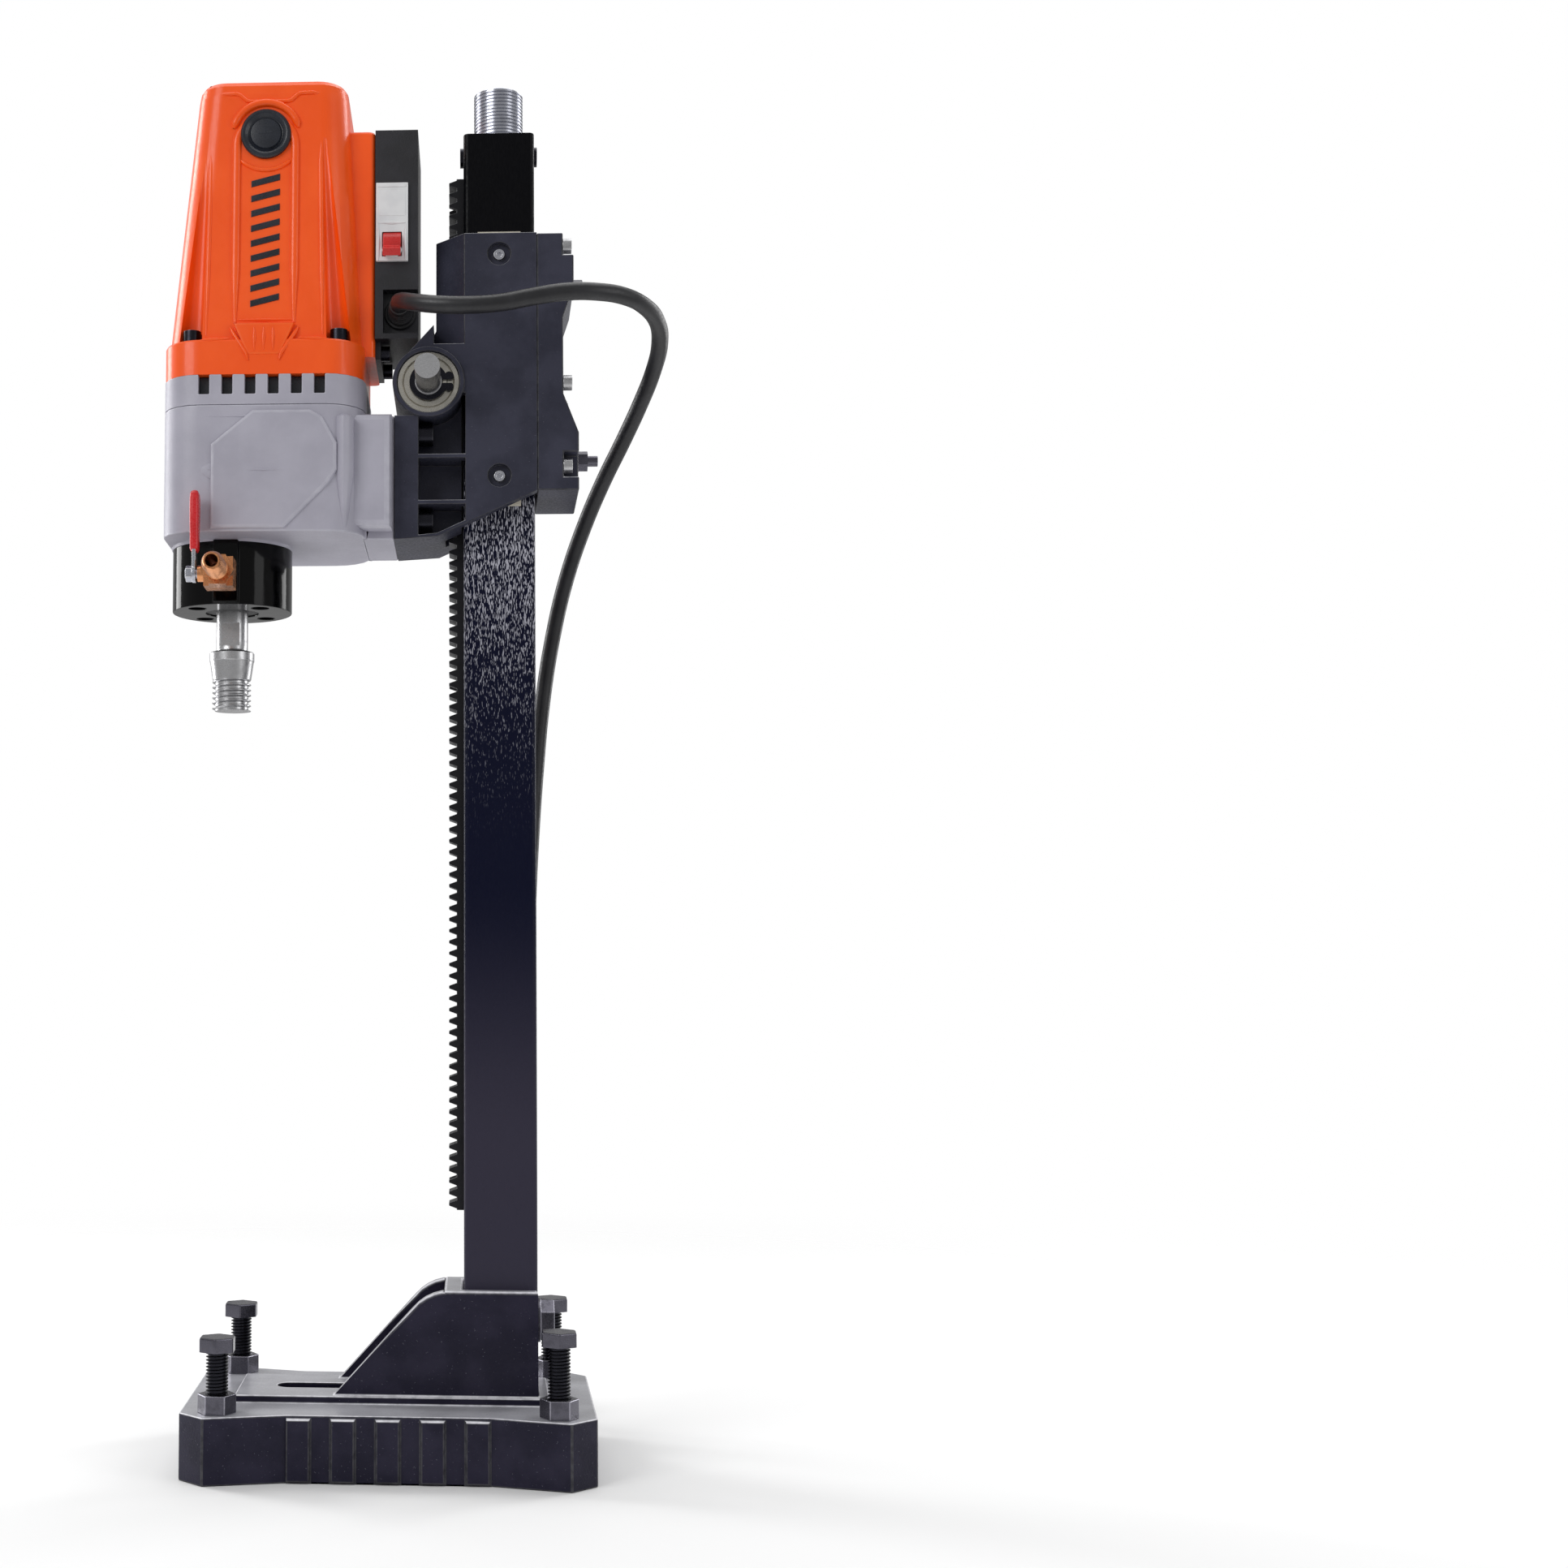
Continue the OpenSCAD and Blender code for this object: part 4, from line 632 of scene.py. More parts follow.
def carve(piece, mesh):
    """Cuts a closed mesh out of a piece for good."""
    cutter = bpy.data.objects.new("cutter", mesh)
    bpy.context.scene.collection.objects.link(cutter)
    modifier = piece.modifiers.new("carve", "BOOLEAN")
    modifier.operation = "DIFFERENCE"
    modifier.solver = "EXACT"
    modifier.object = cutter
    piece.modifiers.move(1, 0)
    weighted = piece.modifiers["weighted"]
    weighted.show_viewport = False
    graph = bpy.context.evaluated_depsgraph_get()
    shape = bpy.data.meshes.new_from_object(piece.evaluated_get(graph))
    piece.modifiers.remove(modifier)
    weighted.show_viewport = True
    bpy.data.objects.remove(cutter)
    piece.data = shape
    shape.shade_smooth()
    shape.set_sharp_from_angle(angle=math.radians(SMOOTH_BELOW))


def make_motor_relief():
    """Ribs, arch, beads and gusset on the motor's near and far walls, ribs on its head and left end."""
    bm = bmesh.new()
    out = (0, -1, 0)
    rib = 16.4
    left = MOTOR_X - rib
    right = MOTOR_X + rib
    over = arc((MOTOR_X, BRUSH_Z - 6), rib, 180, 0, 18)
    ridge(bm, on_motor([(left, 625), (left, 655), (left, 690)] + over
                       + [(right, 690), (right, 655), (right, 625)]), out, 5.0, 1.9)
    ridge(bm, on_motor(arc((MOTOR_X, BRUSH_Z), 18.6, 168, 12, 18)), out, 4.6, 2.4)
    ridge(bm, on_motor(arc((MOTOR_X, BRUSH_Z), 20.4, 224, 316, 12)), out, 2.4, 1.5)
    bead = [(-99.5, 757.4), (-93, 757.4), (-86.5, 757.2), (-84.6, 756.4), (-81, 753.2), (-79, 752.6),
            (-70, 752.6), (-58, 752.6), (-56, 753.2), (-52.4, 756.4), (-50.5, 757.2), (-44, 757.4),
            (-38, 757.2)]
    ridge(bm, on_motor(bead), out, 2.2, 1.3)
    ridge(bm, on_motor([(left - 1, 626.6), (MOTOR_X, 626.6), (right + 1, 626.6)]), out, 2.0, 0.9)
    for side in (-1, 1):
        rim = [(MOTOR_X + side * 31.0, 729), (MOTOR_X + side * 30.6, 718), (MOTOR_X + side * 31.0, 690),
               (MOTOR_X + side * 31.6, 655), (MOTOR_X + side * 32.4, 618)]
        ridge(bm, on_motor(rim), out, 2.6, 0.9)
        foot = [(MOTOR_X + side * 19, -48.6, 622.5), (MOTOR_X + side * 17.2, -49.4, 619),
                (MOTOR_X + side * 9.8, -51.4, 607), (MOTOR_X + side * 8.6, -51.4, 603)]
        ridge(bm, foot, out, 2.2, 0.9)
        level = [(MOTOR_X + side * 19, -50.2, 615.6), (MOTOR_X + side * 30, -50.2, 615.0),
                 (MOTOR_X + side * 36, -50.2, 614.6)]
        ridge(bm, level, out, 2.0, 1.2)
    gusset = [(MOTOR_X - 17, 624), (MOTOR_X - 9, 606), (MOTOR_X + 9, 606), (MOTOR_X + 17, 624)]
    plate(bm, gusset, -46, 5.6, 1.2)
    for step in (-1, 0, 1):
        x = MOTOR_X + step * 5.2
        ridge(bm, [(x, -51.6, 621.5), (x, -51.6, 616), (x, -51.6, 608.5)], out, 2.2, 0.8)
    both_sides(bm)
    for step in range(8):
        x = -101 + step * 8.9
        scallop = [(x, -39, HEAD_Z - 1.2), (x, -30, HEAD_Z - 0.2), (x, 30, HEAD_Z - 0.2),
                   (x, 39, HEAD_Z - 1.2)]
        ridge(bm, scallop, (0, 0, 1), 8.8, 1.3)
    for step in range(6):
        z = 640 + step * 18
        x = FOOT_X[0] + 15.5 * (z - FOOT_Z) / (HEAD_Z - FOOT_Z)
        ridge(bm, [(x, -22, z), (x, 0, z), (x, 22, z)], (-1, 0, 0), 6, 1.0)
    finish_piece("motor_relief", bm, "orange_plastic", "carriage", angle=40)


def make_motor_stripes():
    """A plain row of slanted black bars down the panel between the ribs."""
    bm = bmesh.new()
    for step in range(9):
        z = 634 + step * 8.6
        outline = [(MOTOR_X - 8, z), (MOTOR_X + 8, z + 4), (MOTOR_X + 8, z + 7.6), (MOTOR_X - 8, z + 3.6)]
        plate(bm, outline, motor_wall(z) + 1, 1.5, 0.3)
    both_sides(bm)
    finish_piece("motor_stripes", bm, "black_plastic", "carriage")


# ---------------------------------------------------------------- turned pieces


def lathe(bm, profile, centre, axis, steps=64):
    """Spins (radius, along) points in millimetres round an axis through a centre."""
    along = Vector(axis).normalized()
    side = Vector((0, 0, 1)) if abs(along.z) < 0.5 else Vector((1, 0, 0))
    middle = Vector(centre)
    verts = [bm.verts.new((middle + side * radius + along * far) * MM) for radius, far in profile]
    edges = [bm.edges.new(pair) for pair in zip(verts, verts[1:])]
    bmesh.ops.spin(
        bm, geom=verts + edges, cent=middle * MM, axis=along, angle=math.tau, steps=steps, use_merge=True
    )
    bmesh.ops.remove_doubles(bm, verts=bm.verts, dist=SAME_SPOT)


def make_brush_caps():
    """Screwed caps over the carbon brushes: a rim, a sunk ring and a domed, slotted middle."""
    bm = bmesh.new()
    profile = [(0, -6), (14, -6), (14, -0.9), (13.3, -0.1), (12.3, 0), (11.4, -0.2), (9.8, -1.6), (9.2, -1.7),
               (8.8, -1.2), (8.4, -0.6), (6.2, -0.3), (3, -0.12), (0, -0.05)]
    lathe(bm, profile, (MOTOR_X, -48, BRUSH_Z), (0, -1, 0))
    bar = [(MOTOR_X + step * 4.4, -47.9, BRUSH_Z + step * 0.5) for step in (-1, 0, 1)]
    ridge(bm, bar, (0, -1, 0), 1.3, 0.1)
    both_sides(bm)
    finish_piece("brush_caps_turned", bm, "black_plastic", "carriage", ["brush_caps"])


FEED = (20.5, 594.673)


def make_feed_bearings():
    """Outer race, sunk seal and inner race of the two bearings that carry the feed shaft."""
    bm = bmesh.new()
    rings = [(17.5, 0), (17.5, 10.4), (17.0, 11), (14.6, 11), (14.3, 10.5), (13.9, 10.2), (13.6, 10.5),
             (10.6, 10.5), (10.4, 10.1), (10.2, 10.9), (9.9, 11), (8.1, 11), (7.6, 10.5), (7.6, 0), (17.5, 0)]
    lathe(bm, rings, (FEED[0], -21.5, FEED[1]), (0, -1, 0), 96)
    both_sides(bm)
    finish_piece("feed_bearing_races", bm, "bearing_steel", "carriage", ["feed_bearings"])


def thread(bm, centre, z0, z1, radius, pitch, depth, steps):
    """A helical thread, cut flat at both ends and closed; comes first in its bmesh."""
    root = radius - depth
    flank = [(root, -pitch / 2), (root, -pitch * 0.30), (radius, -pitch * 0.08), (radius, pitch * 0.08),
             (root, pitch * 0.30), (root, pitch / 2)]
    middle = Vector((centre[0], centre[1], 0))
    start = z0 - pitch
    verts = [bm.verts.new((middle + Vector((r, 0, start + far))) * MM) for r, far in flank]
    edges = [bm.edges.new(pair) for pair in zip(verts, verts[1:])]
    turns = math.ceil((z1 - z0) / pitch) + 2
    bmesh.ops.spin(
        bm, geom=verts + edges, cent=middle * MM, axis=(0, 0, 1), dvec=(0, 0, pitch / steps * MM),
        angle=math.tau * turns, steps=steps * turns
    )
    bmesh.ops.remove_doubles(bm, verts=bm.verts, dist=SAME_SPOT)
    for level, way in ((z0, -1), (z1, 1)):
        every = bm.verts[:] + bm.edges[:] + bm.faces[:]
        cut = bmesh.ops.bisect_plane(
            bm, geom=every, dist=1e-7, plane_co=(0, 0, level * MM), plane_no=(0, 0, way), clear_outer=True
        )
        rim = [part for part in cut["geom_cut"] if isinstance(part, bmesh.types.BMEdge)]
        bmesh.ops.holes_fill(bm, edges=rim)


def hexagon(bm, centre, z0, height, flats, chamfer):
    """A hexagonal head or nut standing on z0, its top corners chamfered round."""
    made = bmesh.ops.create_circle(bm, cap_ends=True, segments=6, radius=flats / math.sqrt(3) * MM)
    base = Vector((centre[0], centre[1], z0)) * MM
    bmesh.ops.translate(bm, verts=made["verts"], vec=base)
    face = made["verts"][0].link_faces[0]
    grown = bmesh.ops.extrude_face_region(bm, geom=[face])["geom"]
    verts = [part for part in grown if isinstance(part, bmesh.types.BMVert)]
    bmesh.ops.translate(bm, verts=verts, vec=Vector((0, 0, height)) * MM)
    top = [part for part in grown if isinstance(part, bmesh.types.BMFace)][0]
    uprights = [edge for vert in verts for edge in vert.link_edges if edge not in top.edges[:]]
    edges = list(top.edges) + list(set(uprights))
    bmesh.ops.bevel(
        bm, geom=edges, offset=chamfer * MM, affect="EDGES", segments=2, profile=0.5, material=-1
    )


LEVEL_HEAD_H = 7.5
LEVEL_FLATS = 18


def make_levelling_screw(node):
    """A fully threaded hexagon screw: a black thread and a zinc head."""
    low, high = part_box(node)
    centre = (low + high) / 2 / MM
    head = high.z / MM - LEVEL_HEAD_H
    body = NODES[node]["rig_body"]
    bm = bmesh.new()
    thread(bm, centre, low.z / MM, head + 0.2, 6.0, 1.75, 1.1, 26)
    finish_piece(node + "_thread", bm, "black_oxide", body, angle=40)
    bm = bmesh.new()
    hexagon(bm, centre, head, LEVEL_HEAD_H, LEVEL_FLATS, 0.9)
    finish_piece(node + "_head", bm, "dark_zinc", body, [node], 40)


COLUMN_X = 60


def make_jack_screw():
    """The thick jack screw at the top of the column, with its fine thread."""
    low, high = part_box("jack_screw")
    bm = bmesh.new()
    top = high.z / MM
    thread(bm, (COLUMN_X, 0), low.z / MM, top - 1.2, 14, 2.0, 0.8, 48)
    lathe(bm, [(0, -3), (12.6, -3), (12.6, -0.8), (11.8, 0), (0, 0)], (COLUMN_X, 0, top), (0, 0, 1))
    finish_piece("jack_screw_threaded", bm, "bright_steel", "jack_screw", ["jack_screw"], 40)


SPINDLE_X = -92
FLATS_Z = (451.1, 463.9)
HALF_FLATS = 7.4


def make_spindle():
    """Drive spindle: flats for a spanner, collar, cone and the thread for the bit."""
    low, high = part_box("spindle")
    top = high.z / MM
    bm = bmesh.new()
    thread(bm, (SPINDLE_X, 0), low.z / MM, 431.7, 11, 3.0, 1.5, 48)
    profile = [(0, 415.5), (9.0, 415.5), (9.0, 431), (10.6, 431.6), (11.0, 432.2), (12.4, 442.0),
               (12.75, 442.6), (12.75, 447.0), (12.1, 447.7), (9.4, 448.4), (9.0, 449.2), (9.0, 451),
               (9.0, 451.2), (9.0, 463.8), (9.0, 464), (9.0, 471), (9.0, 511), (10, 511), (10, 530),
               (9, 530), (8, top), (0, top)]
    lathe(bm, profile, (SPINDLE_X, 0, 0), (0, 0, 1))
    for vert in bm.verts:
        place = vert.co / MM
        if FLATS_Z[0] < place.z < FLATS_Z[1]:
            place.y = max(-HALF_FLATS, min(HALF_FLATS, place.y))
            vert.co = place * MM
    finish_piece("spindle_turned", bm, "steel", "spindle", ["spindle"], 30)


# ---------------------------------------------------------------- gearbox, valve, switch


def make_gearbox_relief():
    """Facet, beads and lug cast on the gearbox's near and far walls."""
    bm = bmesh.new()
    out = (0, -1, 0)
    facet = [(-76, 575), (-99, 556), (-99, 508.6), (-58, 508.6), (-34, 533), (-29, 541), (-29, 556),
             (-37, 571), (-44, 575)]
    plate(bm, facet, -50.5, 2.8, 2.2)
    ridge(bm, [(-105, -51.2, 541), (-99, -51.8, 541), (-40, -52.2, 541)], out, 9, 0.5)
    lug = [(-27, 511), (0.4, 510.5), (0.4, 574.6), (-27, 574.8)]
    plate(bm, lug, -24, 20, 4)
    ridge(bm, [(-25.5, -44, 574.2), (-25.5, -46, 571), (-25.5, -46, 540), (-25.5, -46, 510)], out, 11, 7)
    ridge(bm, [(-100, -52, 541.5), (-70, -52.6, 541), (-36, -52, 541)], out, 1.6, 1.2)
    ridge(bm, [(-105, -51.2, 571.6), (-60, -51.6, 571.6), (-38, -51.2, 571.6)], out, 2, 0.8)
    both_sides(bm)
    finish_piece("gearbox_relief", bm, "cast_aluminium", "carriage", angle=34)


def make_painted_vent_shade():
    """A black sleeve inside the gearbox cover, seen through the slots round it: painted shade where the
    cavity is dark.
    """
    bm = bmesh.new()
    tower(bm, [(583, -121.5, -20.5, 45.5), (594.8, -121.5, -20.5, 45.5)], 16)
    bm.normal_update()
    caps = [face for face in bm.faces if abs(face.normal.z) > 0.9]
    bmesh.ops.delete(bm, geom=caps, context="FACES")
    bmesh.ops.solidify(bm, geom=bm.faces, thickness=MM)
    finish_piece("painted_vent_shade", bm, "black_plastic", "carriage")


def make_gearbox_foot():
    """The light rim round the water collar's seat."""
    bm = bmesh.new()
    profile = [(30, 505.6), (34.4, 505.6), (34.9, 506.6), (35.3, 508.4), (30, 508.4), (30, 505.6)]
    lathe(bm, profile, (SPINDLE_X, 0, 0), (0, 0, 1))
    finish_piece("gearbox_foot_rim", bm, "cast_aluminium", "carriage")


VALVE = (-92, -60, 482.2)


def make_lever_grip():
    """The dipped red grip: a flat blade, full at its end and slim towards the pivot."""
    low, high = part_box("valve_lever_sleeve")
    centre = (low + high) / 2 / MM
    z0 = low.z / MM
    z1 = high.z / MM
    bm = bmesh.new()
    rows = [(z0, -1.6, 1.6, 3.6), (z0 + 1.5, -2.3, 2.3, 4.2), (z0 + 8, -2.3, 2.4, 4.5),
            (z0 + 20, -2.5, 2.5, 5.2), (z1 - 5, -2.5, 2.5, 5.2), (z1 - 2, -2.3, 2.3, 4.2),
            (z1 - 0.6, -1.7, 1.7, 2.8), (z1, -0.8, 0.8, 1.4)]
    tower(bm, [(z, centre.x + x0, centre.x + x1, y) for z, x0, x1, y in rows], 1.3, 4)
    for vert in bm.verts:
        vert.co.y += VALVE[1] * MM
    finish_piece("lever_grip", bm, "red_grip", "valve", ["valve_lever_sleeve"], 60)


def make_hose_tail():
    """A collar, then four barbs that hold the water hose."""
    low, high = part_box("hose_tail")
    start = high.y / MM
    end = low.y / MM
    bm = bmesh.new()
    length = start - end
    profile = [(3.5, 0), (5.9, 0), (5.9, 1.5), (5.0, 2.2), (5.0, 3.0)]
    barbs = 4
    step = (length - 4) / barbs
    for index in range(barbs):
        at = 3.0 + index * step
        profile += [(5.0, at + 0.6), (6.0, at + 0.9), (5.9, at + 1.3), (5.0, at + step)]
    profile += [(4.4, length), (3.5, length), (3.5, 0)]
    lathe(bm, profile, (VALVE[0], start, VALVE[2]), (0, -1, 0), 48)
    finish_piece("hose_tail_barbed", bm, "brass", "carriage", ["hose_tail"], 30)


def make_breaker_face():
    """Small mouldings on the breaker's face: upper bar, plain panel, ledge, side rails and a lip."""
    low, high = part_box("breaker")
    front = low.y / MM
    x0 = low.x / MM
    x1 = high.x / MM
    middle = (x0 + x1) / 2
    bm = bmesh.new()
    plate(bm, [(x0 + 1.2, 706.5), (x1 - 1.2, 706.5), (x1 - 1.2, 708), (x0 + 1.2, 708)], front + 0.2, 0.7, 0.2)
    plate(bm, [(x0 + 1.5, 690), (x1 - 1.5, 690), (x1 - 1.5, 704.5), (x0 + 1.5, 704.5)], front + 0.2, 0.5, 0.2)
    ridge(bm, [(x0 + 1.5, front, 686), (middle, front, 686), (x1 - 1.5, front, 686)], (0, -1, 0), 2.2, 0.9)
    for side in (-1, 1):
        x = middle + side * 7.6
        ridge(bm, [(x, front, 685), (x, front, 674), (x, front, 664.5)], (0, -1, 0), 1.8, 0.9)
    lip = arc((middle, 671.6), 4.8, 180, 360, 12)
    ridge(bm, [(x, front, z) for x, z in lip], (0, -1, 0), 2.2, 1.4)
    finish_piece("breaker_face", bm, "breaker_white", "carriage", angle=40)


GLAND = (4.5, -23, 636.2)


def make_gland():
    """Grommet ring and the tapered sleeve that holds the cable out straight."""
    bm = bmesh.new()
    profile = [(4.9, -4), (7, -4), (7, 0), (9, 0), (9, 1.4), (8.5, 2.1), (7.4, 2.1), (7.2, 3.2), (7.4, 4.2),
               (7.0, 5.0), (6.5, 5.4), (6.9, 6.4), (6.5, 7.4), (6.2, 7.8), (6.5, 8.8), (6.2, 9.8),
               (5.9, 10.2), (6.2, 11.2), (5.9, 12.2), (5.6, 12.6), (5.9, 13.6), (5.5, 17.6), (4.9, 18),
               (4.9, -4)]
    lathe(bm, profile, GLAND, (0, -1, 0), 48)
    finish_piece("cable_sleeve", bm, "seal_rubber", "carriage", ["cable_gland"], 40)


def make_plug():
    """A flat rubber plug: a ribbed body that narrows towards the cable, and two pins."""
    low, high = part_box("plug")
    lo = low / MM
    hi = high / MM
    middle = (lo.x + hi.x) / 2
    half = (hi.x - lo.x) / 2
    centre_z = (lo.z + hi.z) / 2
    thick = (hi.z - lo.z) / 2
    face_y = lo.y + 18
    bm = bmesh.new()
    rows = [(face_y, 0.90), (face_y + 1.5, 0.98), (face_y + 10, 1.0), (face_y + 20, 0.94),
            (face_y + 30, 0.72), (face_y + 37, 0.46), (hi.y - 0.5, 0.34)]
    sections = [(y, -half * share, half * share, thick * (0.55 + 0.45 * share)) for y, share in rows]
    tower(bm, sections, 7, 6)
    for step in range(4):
        y = face_y + 9 + 4 * step
        for way in (-1, 1):
            face = way * thick * 0.93
            ridge(bm, [(-11, face, y), (0, face, y), (11, face, y)], (0, way, 0), 1.8, 0.6)
    for way in (-1, 1):
        lathe(bm, [(0, lo.y), (1.6, lo.y), (2.4, lo.y + 1), (2.4, face_y + 1), (0, face_y + 1)],
              (way * 9.5, 0, 0), (0, 0, 1), 24)
    lift = Matrix.Translation(Vector((middle, 0, centre_z)) * MM)
    lay = Matrix(((1, 0, 0, 0), (0, 0, 1, 0), (0, -1, 0, 0), (0, 0, 0, 1)))
    bmesh.ops.transform(bm, matrix=lift @ lay, verts=bm.verts)
    return finish_piece("plug_moulded", bm, "plug_rubber", "stand", ["plug"], 40)


# ---------------------------------------------------------------- cord

CABLE = 9.5
CORD_ROUTE = [
    (4.5, -27, 636), (4.5, -36, 636), (4.5, -47, 635.5), (7, -59, 632.5), (14, -69, 628.5),
    (26, -76, 625), (42, -79, 623.5), (60, -79, 624.5), (78, -78, 628), (96, -76, 631),
    (112, -72, 632), (127, -64, 632), (139, -52, 630), (147, -37, 626), (150, -19, 619),
    (148, 0, 609), (142, 18, 595), (133, 34, 577), (122, 48, 556), (111, 60, 531),
    (101, 69, 502), (93, 76, 468), (87, 81, 430), (83, 85, 388), (80, 88, 344),
    (78, 90, 300), (77, 90, 256), (76, 90, 212), (76, 90, 170), (76, 90, 130),
    (76, 90, 95), (76, 90, 74), (76, 91, 57), (76, 94.5, 41.5), (76, 102, 28.5),
    (76, 112, 19.5), (75.5, 124, 13.5), (75, 136, 9.5), (73.3, 148, 6.5), (71, 157, 5.2),
]
CORD_END_ROUTE = [
    (-16, 184.7, 4.75), (-26, 176.4, 4.75), (-35.5, 168, 5.3), (-43.5, 158, 6.8),
    (-49, 147, 8.7), (-52.2, 137.5, 10.2), (-53, 132.5, 10.5), (-53, 128, 10.5),
]
COIL_CENTRE = (38, 140)
COIL_RADIUS = 38
COIL_START = 40
COIL_TURNS = 3.25
COIL_STEPS = 52


def coil_points():
    """A flat coil on the floor, wound outwards a cable's width at each turn."""
    points = []
    for step in range(COIL_STEPS + 1):
        turned = COIL_TURNS * step / COIL_STEPS
        angle = math.radians(COIL_START + 360 * turned)
        radius = COIL_RADIUS + CABLE * turned
        x = COIL_CENTRE[0] + radius * math.cos(angle)
        y = COIL_CENTRE[1] + radius * math.sin(angle)
        points.append((x, y, CABLE / 2))
    return points


def curve_mesh(data):
    """The mesh that a curve draws."""
    drawn = bpy.data.objects.new("drawn", data)
    bpy.context.scene.collection.objects.link(drawn)
    graph = bpy.context.evaluated_depsgraph_get()
    mesh = bpy.data.meshes.new_from_object(drawn.evaluated_get(graph))
    bpy.data.objects.remove(drawn)
    return mesh


def spline_only(data):
    """A copy of a curve without its thickness."""
    thin = data.copy()
    thin.bevel_depth = 0
    return thin


def curve_piece(name, data):
    """A curve made a smooth mesh, because a curve can't bend between two bodies."""
    mesh = curve_mesh(data)
    mesh.name = name
    mesh.shade_smooth()
    piece = bpy.data.objects.new(name, mesh)
    bpy.context.scene.collection.objects.link(piece)
    return piece


def make_cord():
    """The supply cable: one smooth curve from the gland to the plug."""
    points = CORD_ROUTE + coil_points() + CORD_END_ROUTE
    data = bpy.data.curves.new("supply_cable", "CURVE")
    data.dimensions = "3D"
    spline = data.splines.new("BEZIER")
    spline.bezier_points.add(len(points) - 1)
    for knot, point in zip(spline.bezier_points, points):
        knot.co = Vector(point) * MM
        knot.handle_left_type = "AUTO"
        knot.handle_right_type = "AUTO"
    data.resolution_u = 5
    data.bevel_depth = CABLE / 2 * MM
    data.bevel_resolution = 4
    data.use_fill_caps = True
    data.materials.append(FINISHES["cable_rubber"])
    cable = curve_piece("supply_cable", data)
    path = [tuple(vert.co) for vert in curve_mesh(spline_only(data)).vertices]
    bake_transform(cable)
    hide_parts("cord_tube", "cord_coil", "cord_end")
    make_plug()


make_gland()
make_cord()


# ---------------------------------------------------------------- CAD nodes

for name, node in NODES.items():
    node.data.materials.clear()
    node.data.materials.append(FINISHES[NODE_SLOTS[name]])

REFINED = {
    "base_casting": 0.9,
    "carriage_body": 0.4,
    "carriage_rear_cap": 0.8,
    "column_tube": 0.6,
    "rack": 0.25,
    "levelling_nuts": 0.5,
    "column_bolt": 0.4,
    "column_nut": 0.4,
    "column_head_nut": 0.3,
    "rear_cap_screws": 0.25,
    "side_pad_screws": 0.2,
    "rear_pads": 0.3,
    "rear_pad_studs": 0.2,
    "gearbox_mount_screws": 0.3,
    "gearbox_housing": 1.0,
    "gearbox_cover": 0.6,
    "motor_screws": 0.3,
    "switch_box_screws": 0.25,
    "breaker": 0.4,
    "breaker_toggle": 0.4,
    "water_collar": 0.6,
    "valve_lever": 0.25,
    "valve_lever_nut": 0.3,
}

BRACKET_EDGES = (41, 1.7)

for name, width in REFINED.items():
    refined(name, width, BRACKET_EDGES if name == "base_casting" else None)

make_motor_shell()
make_motor_relief()
make_motor_stripes()
make_brush_caps()
make_feed_bearings()
make_jack_screw()
make_spindle()
for corner in ("front_left", "rear_left", "front_right", "rear_right"):
    make_levelling_screw("levelling_screw_" + corner)
make_gearbox_relief()
make_painted_vent_shade()
make_gearbox_foot()
make_lever_grip()
make_hose_tail()
make_breaker_face()


# ---------------------------------------------------------------- studio


FLOOR_HALF = 1.6
FADE_FROM = 500
FADE_TO = 1300


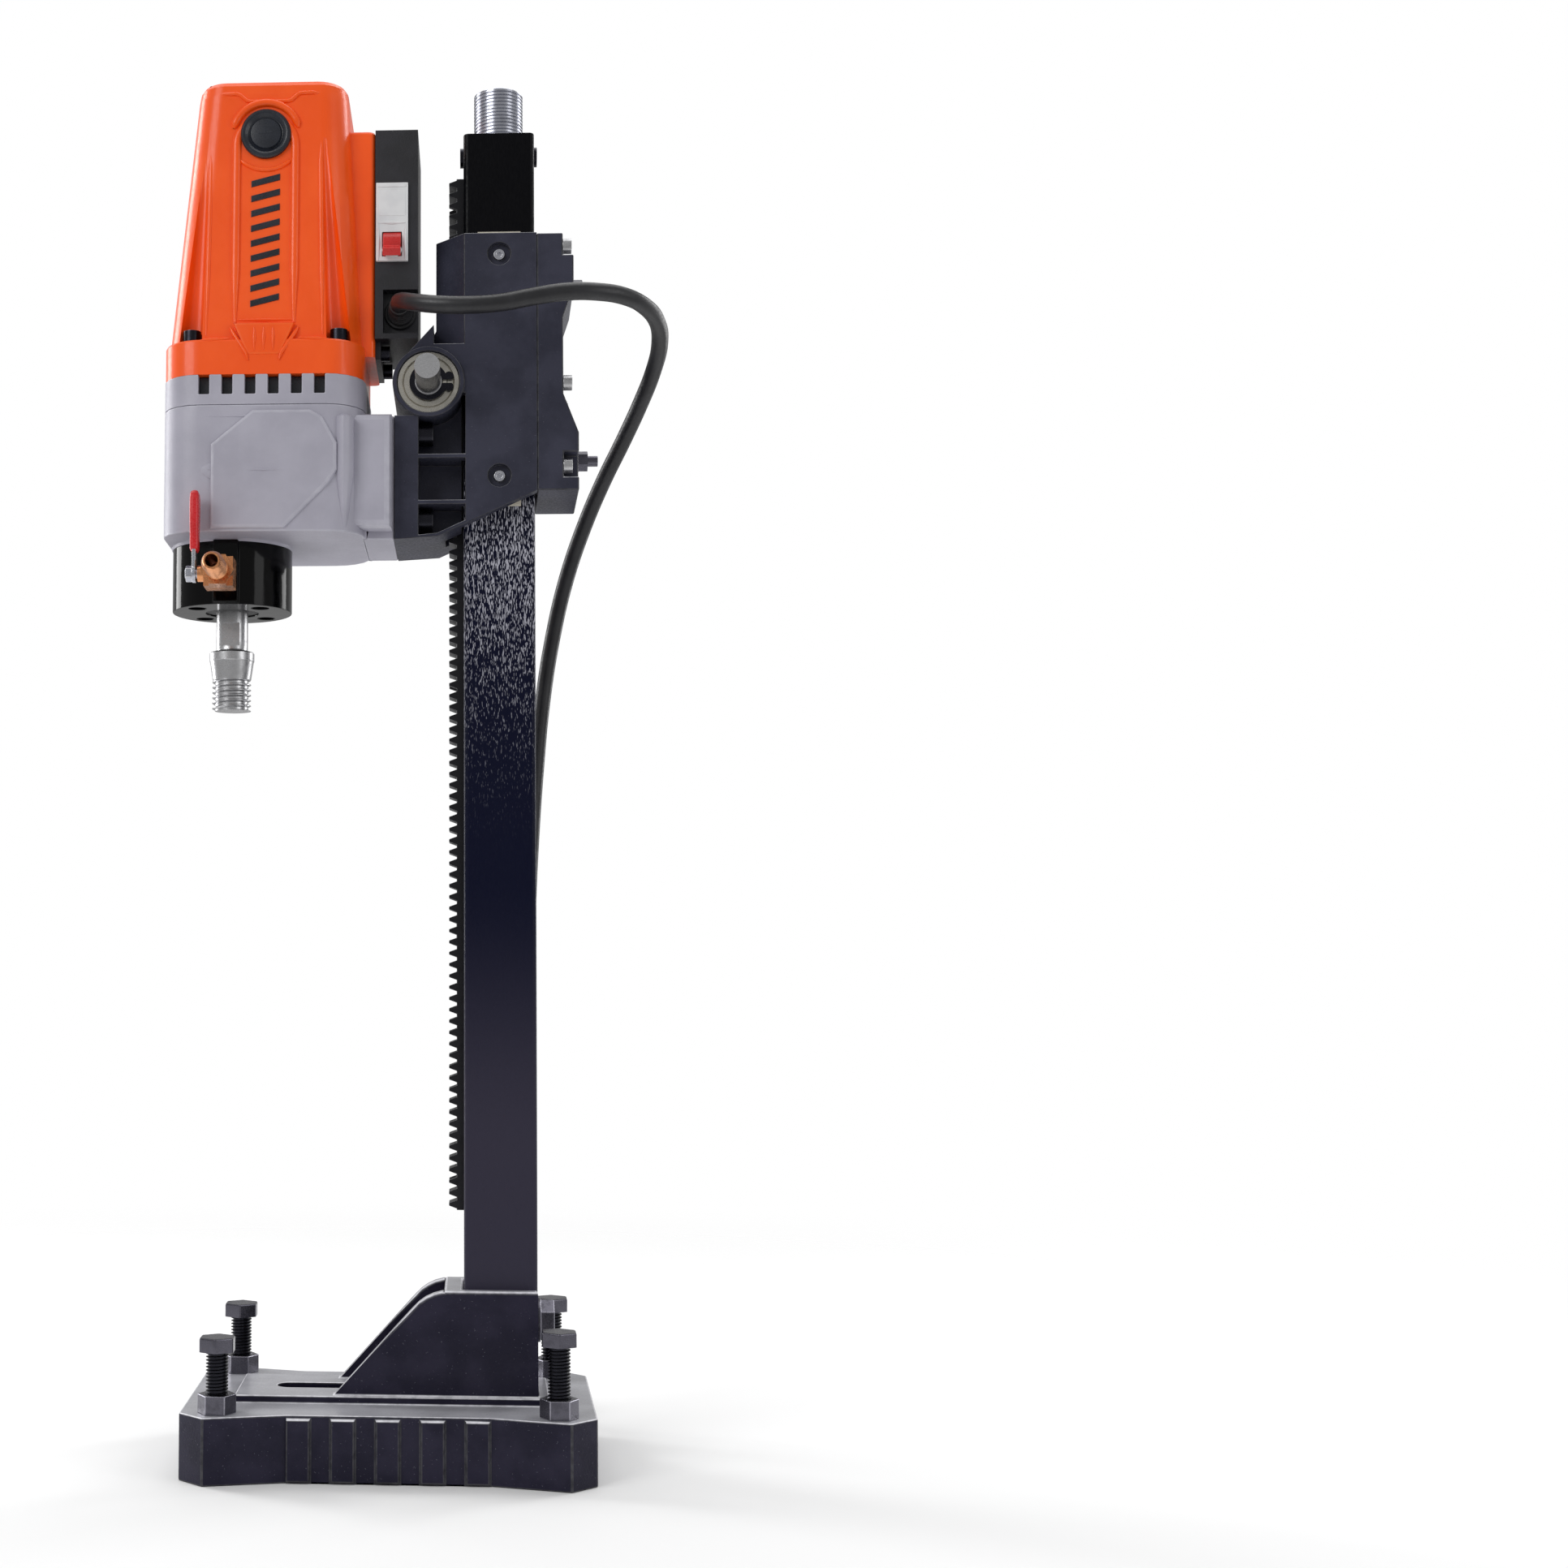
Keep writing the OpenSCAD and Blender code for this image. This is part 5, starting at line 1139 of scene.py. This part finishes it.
def make_floor():
    """A pale floor that fades into the background."""
    bm = bmesh.new()
    bmesh.ops.create_grid(bm, x_segments=1, y_segments=1, size=FLOOR_HALF)
    mesh = bpy.data.meshes.new("studio_floor")
    bm.to_mesh(mesh)
    bm.free()
    finish = Finish("studio_floor")
    finish.set("Base Color", (0.90, 0.90, 0.90))
    finish.set("Roughness", 0.7)
    finish.set("Alpha", finish.radius().ramp(FADE_FROM, FADE_TO, 1, 0))
    mesh.materials.append(finish.material)
    floor = bpy.data.objects.new("studio_floor", mesh)
    bpy.context.scene.collection.objects.link(floor)


def soft_light(name, place, target, size, power):
    """A rectangular area light of power watts aimed at a target, all in metres."""
    data = bpy.data.lights.new(name, "AREA")
    data.shape = "RECTANGLE"
    data.size = size[0]
    data.size_y = size[1]
    data.energy = power
    light = bpy.data.objects.new(name, data)
    place = Vector(place)
    aim = (Vector(target) - place).to_track_quat("-Z", "Y")
    light.matrix_world = Matrix.Translation(place) @ aim.to_matrix().to_4x4()
    bpy.context.scene.collection.objects.link(light)


ROOM_GLOW = 0.42


def make_lights():
    """Soft lights round the rig, in a dim white room that looks plain white to the camera."""
    soft_light("front_left", (-1.3, -1.5, 1.5), (0, 0, 0.4), (1.0, 1.0), 15)
    soft_light("front_right", (1.7, -1.1, 0.9), (0, 0, 0.4), (0.7, 1.4), 6)
    soft_light("rim_left", (-1.3, 0.7, 0.8), (0, 0, 0.4), (0.5, 1.6), 16)
    soft_light("rim_right", (1.3, 0.9, 0.9), (0, 0, 0.4), (0.5, 1.6), 11)
    soft_light("overhead", (0, 0.3, 2.0), (0, 0, 0.3), (1.6, 1.6), 14)
    world = bpy.data.worlds.new("studio")
    world.use_nodes = True
    tree = world.node_tree
    seen = tree.nodes["Background"]
    seen.inputs["Color"].default_value = (1, 1, 1, 1)
    seen.inputs["Strength"].default_value = 1.0
    cast = tree.nodes.new("ShaderNodeBackground")
    cast.inputs["Color"].default_value = (1, 1, 1, 1)
    cast.inputs["Strength"].default_value = ROOM_GLOW
    path = tree.nodes.new("ShaderNodeLightPath")
    pick = tree.nodes.new("ShaderNodeMixShader")
    tree.links.new(path.outputs["Is Camera Ray"], pick.inputs[0])
    tree.links.new(cast.outputs[0], pick.inputs[1])
    tree.links.new(seen.outputs[0], pick.inputs[2])
    tree.links.new(pick.outputs[0], tree.nodes["World Output"].inputs["Surface"])
    bpy.context.scene.world = world


make_floor()
make_lights()
bpy.context.scene.view_settings.view_transform = "Standard"
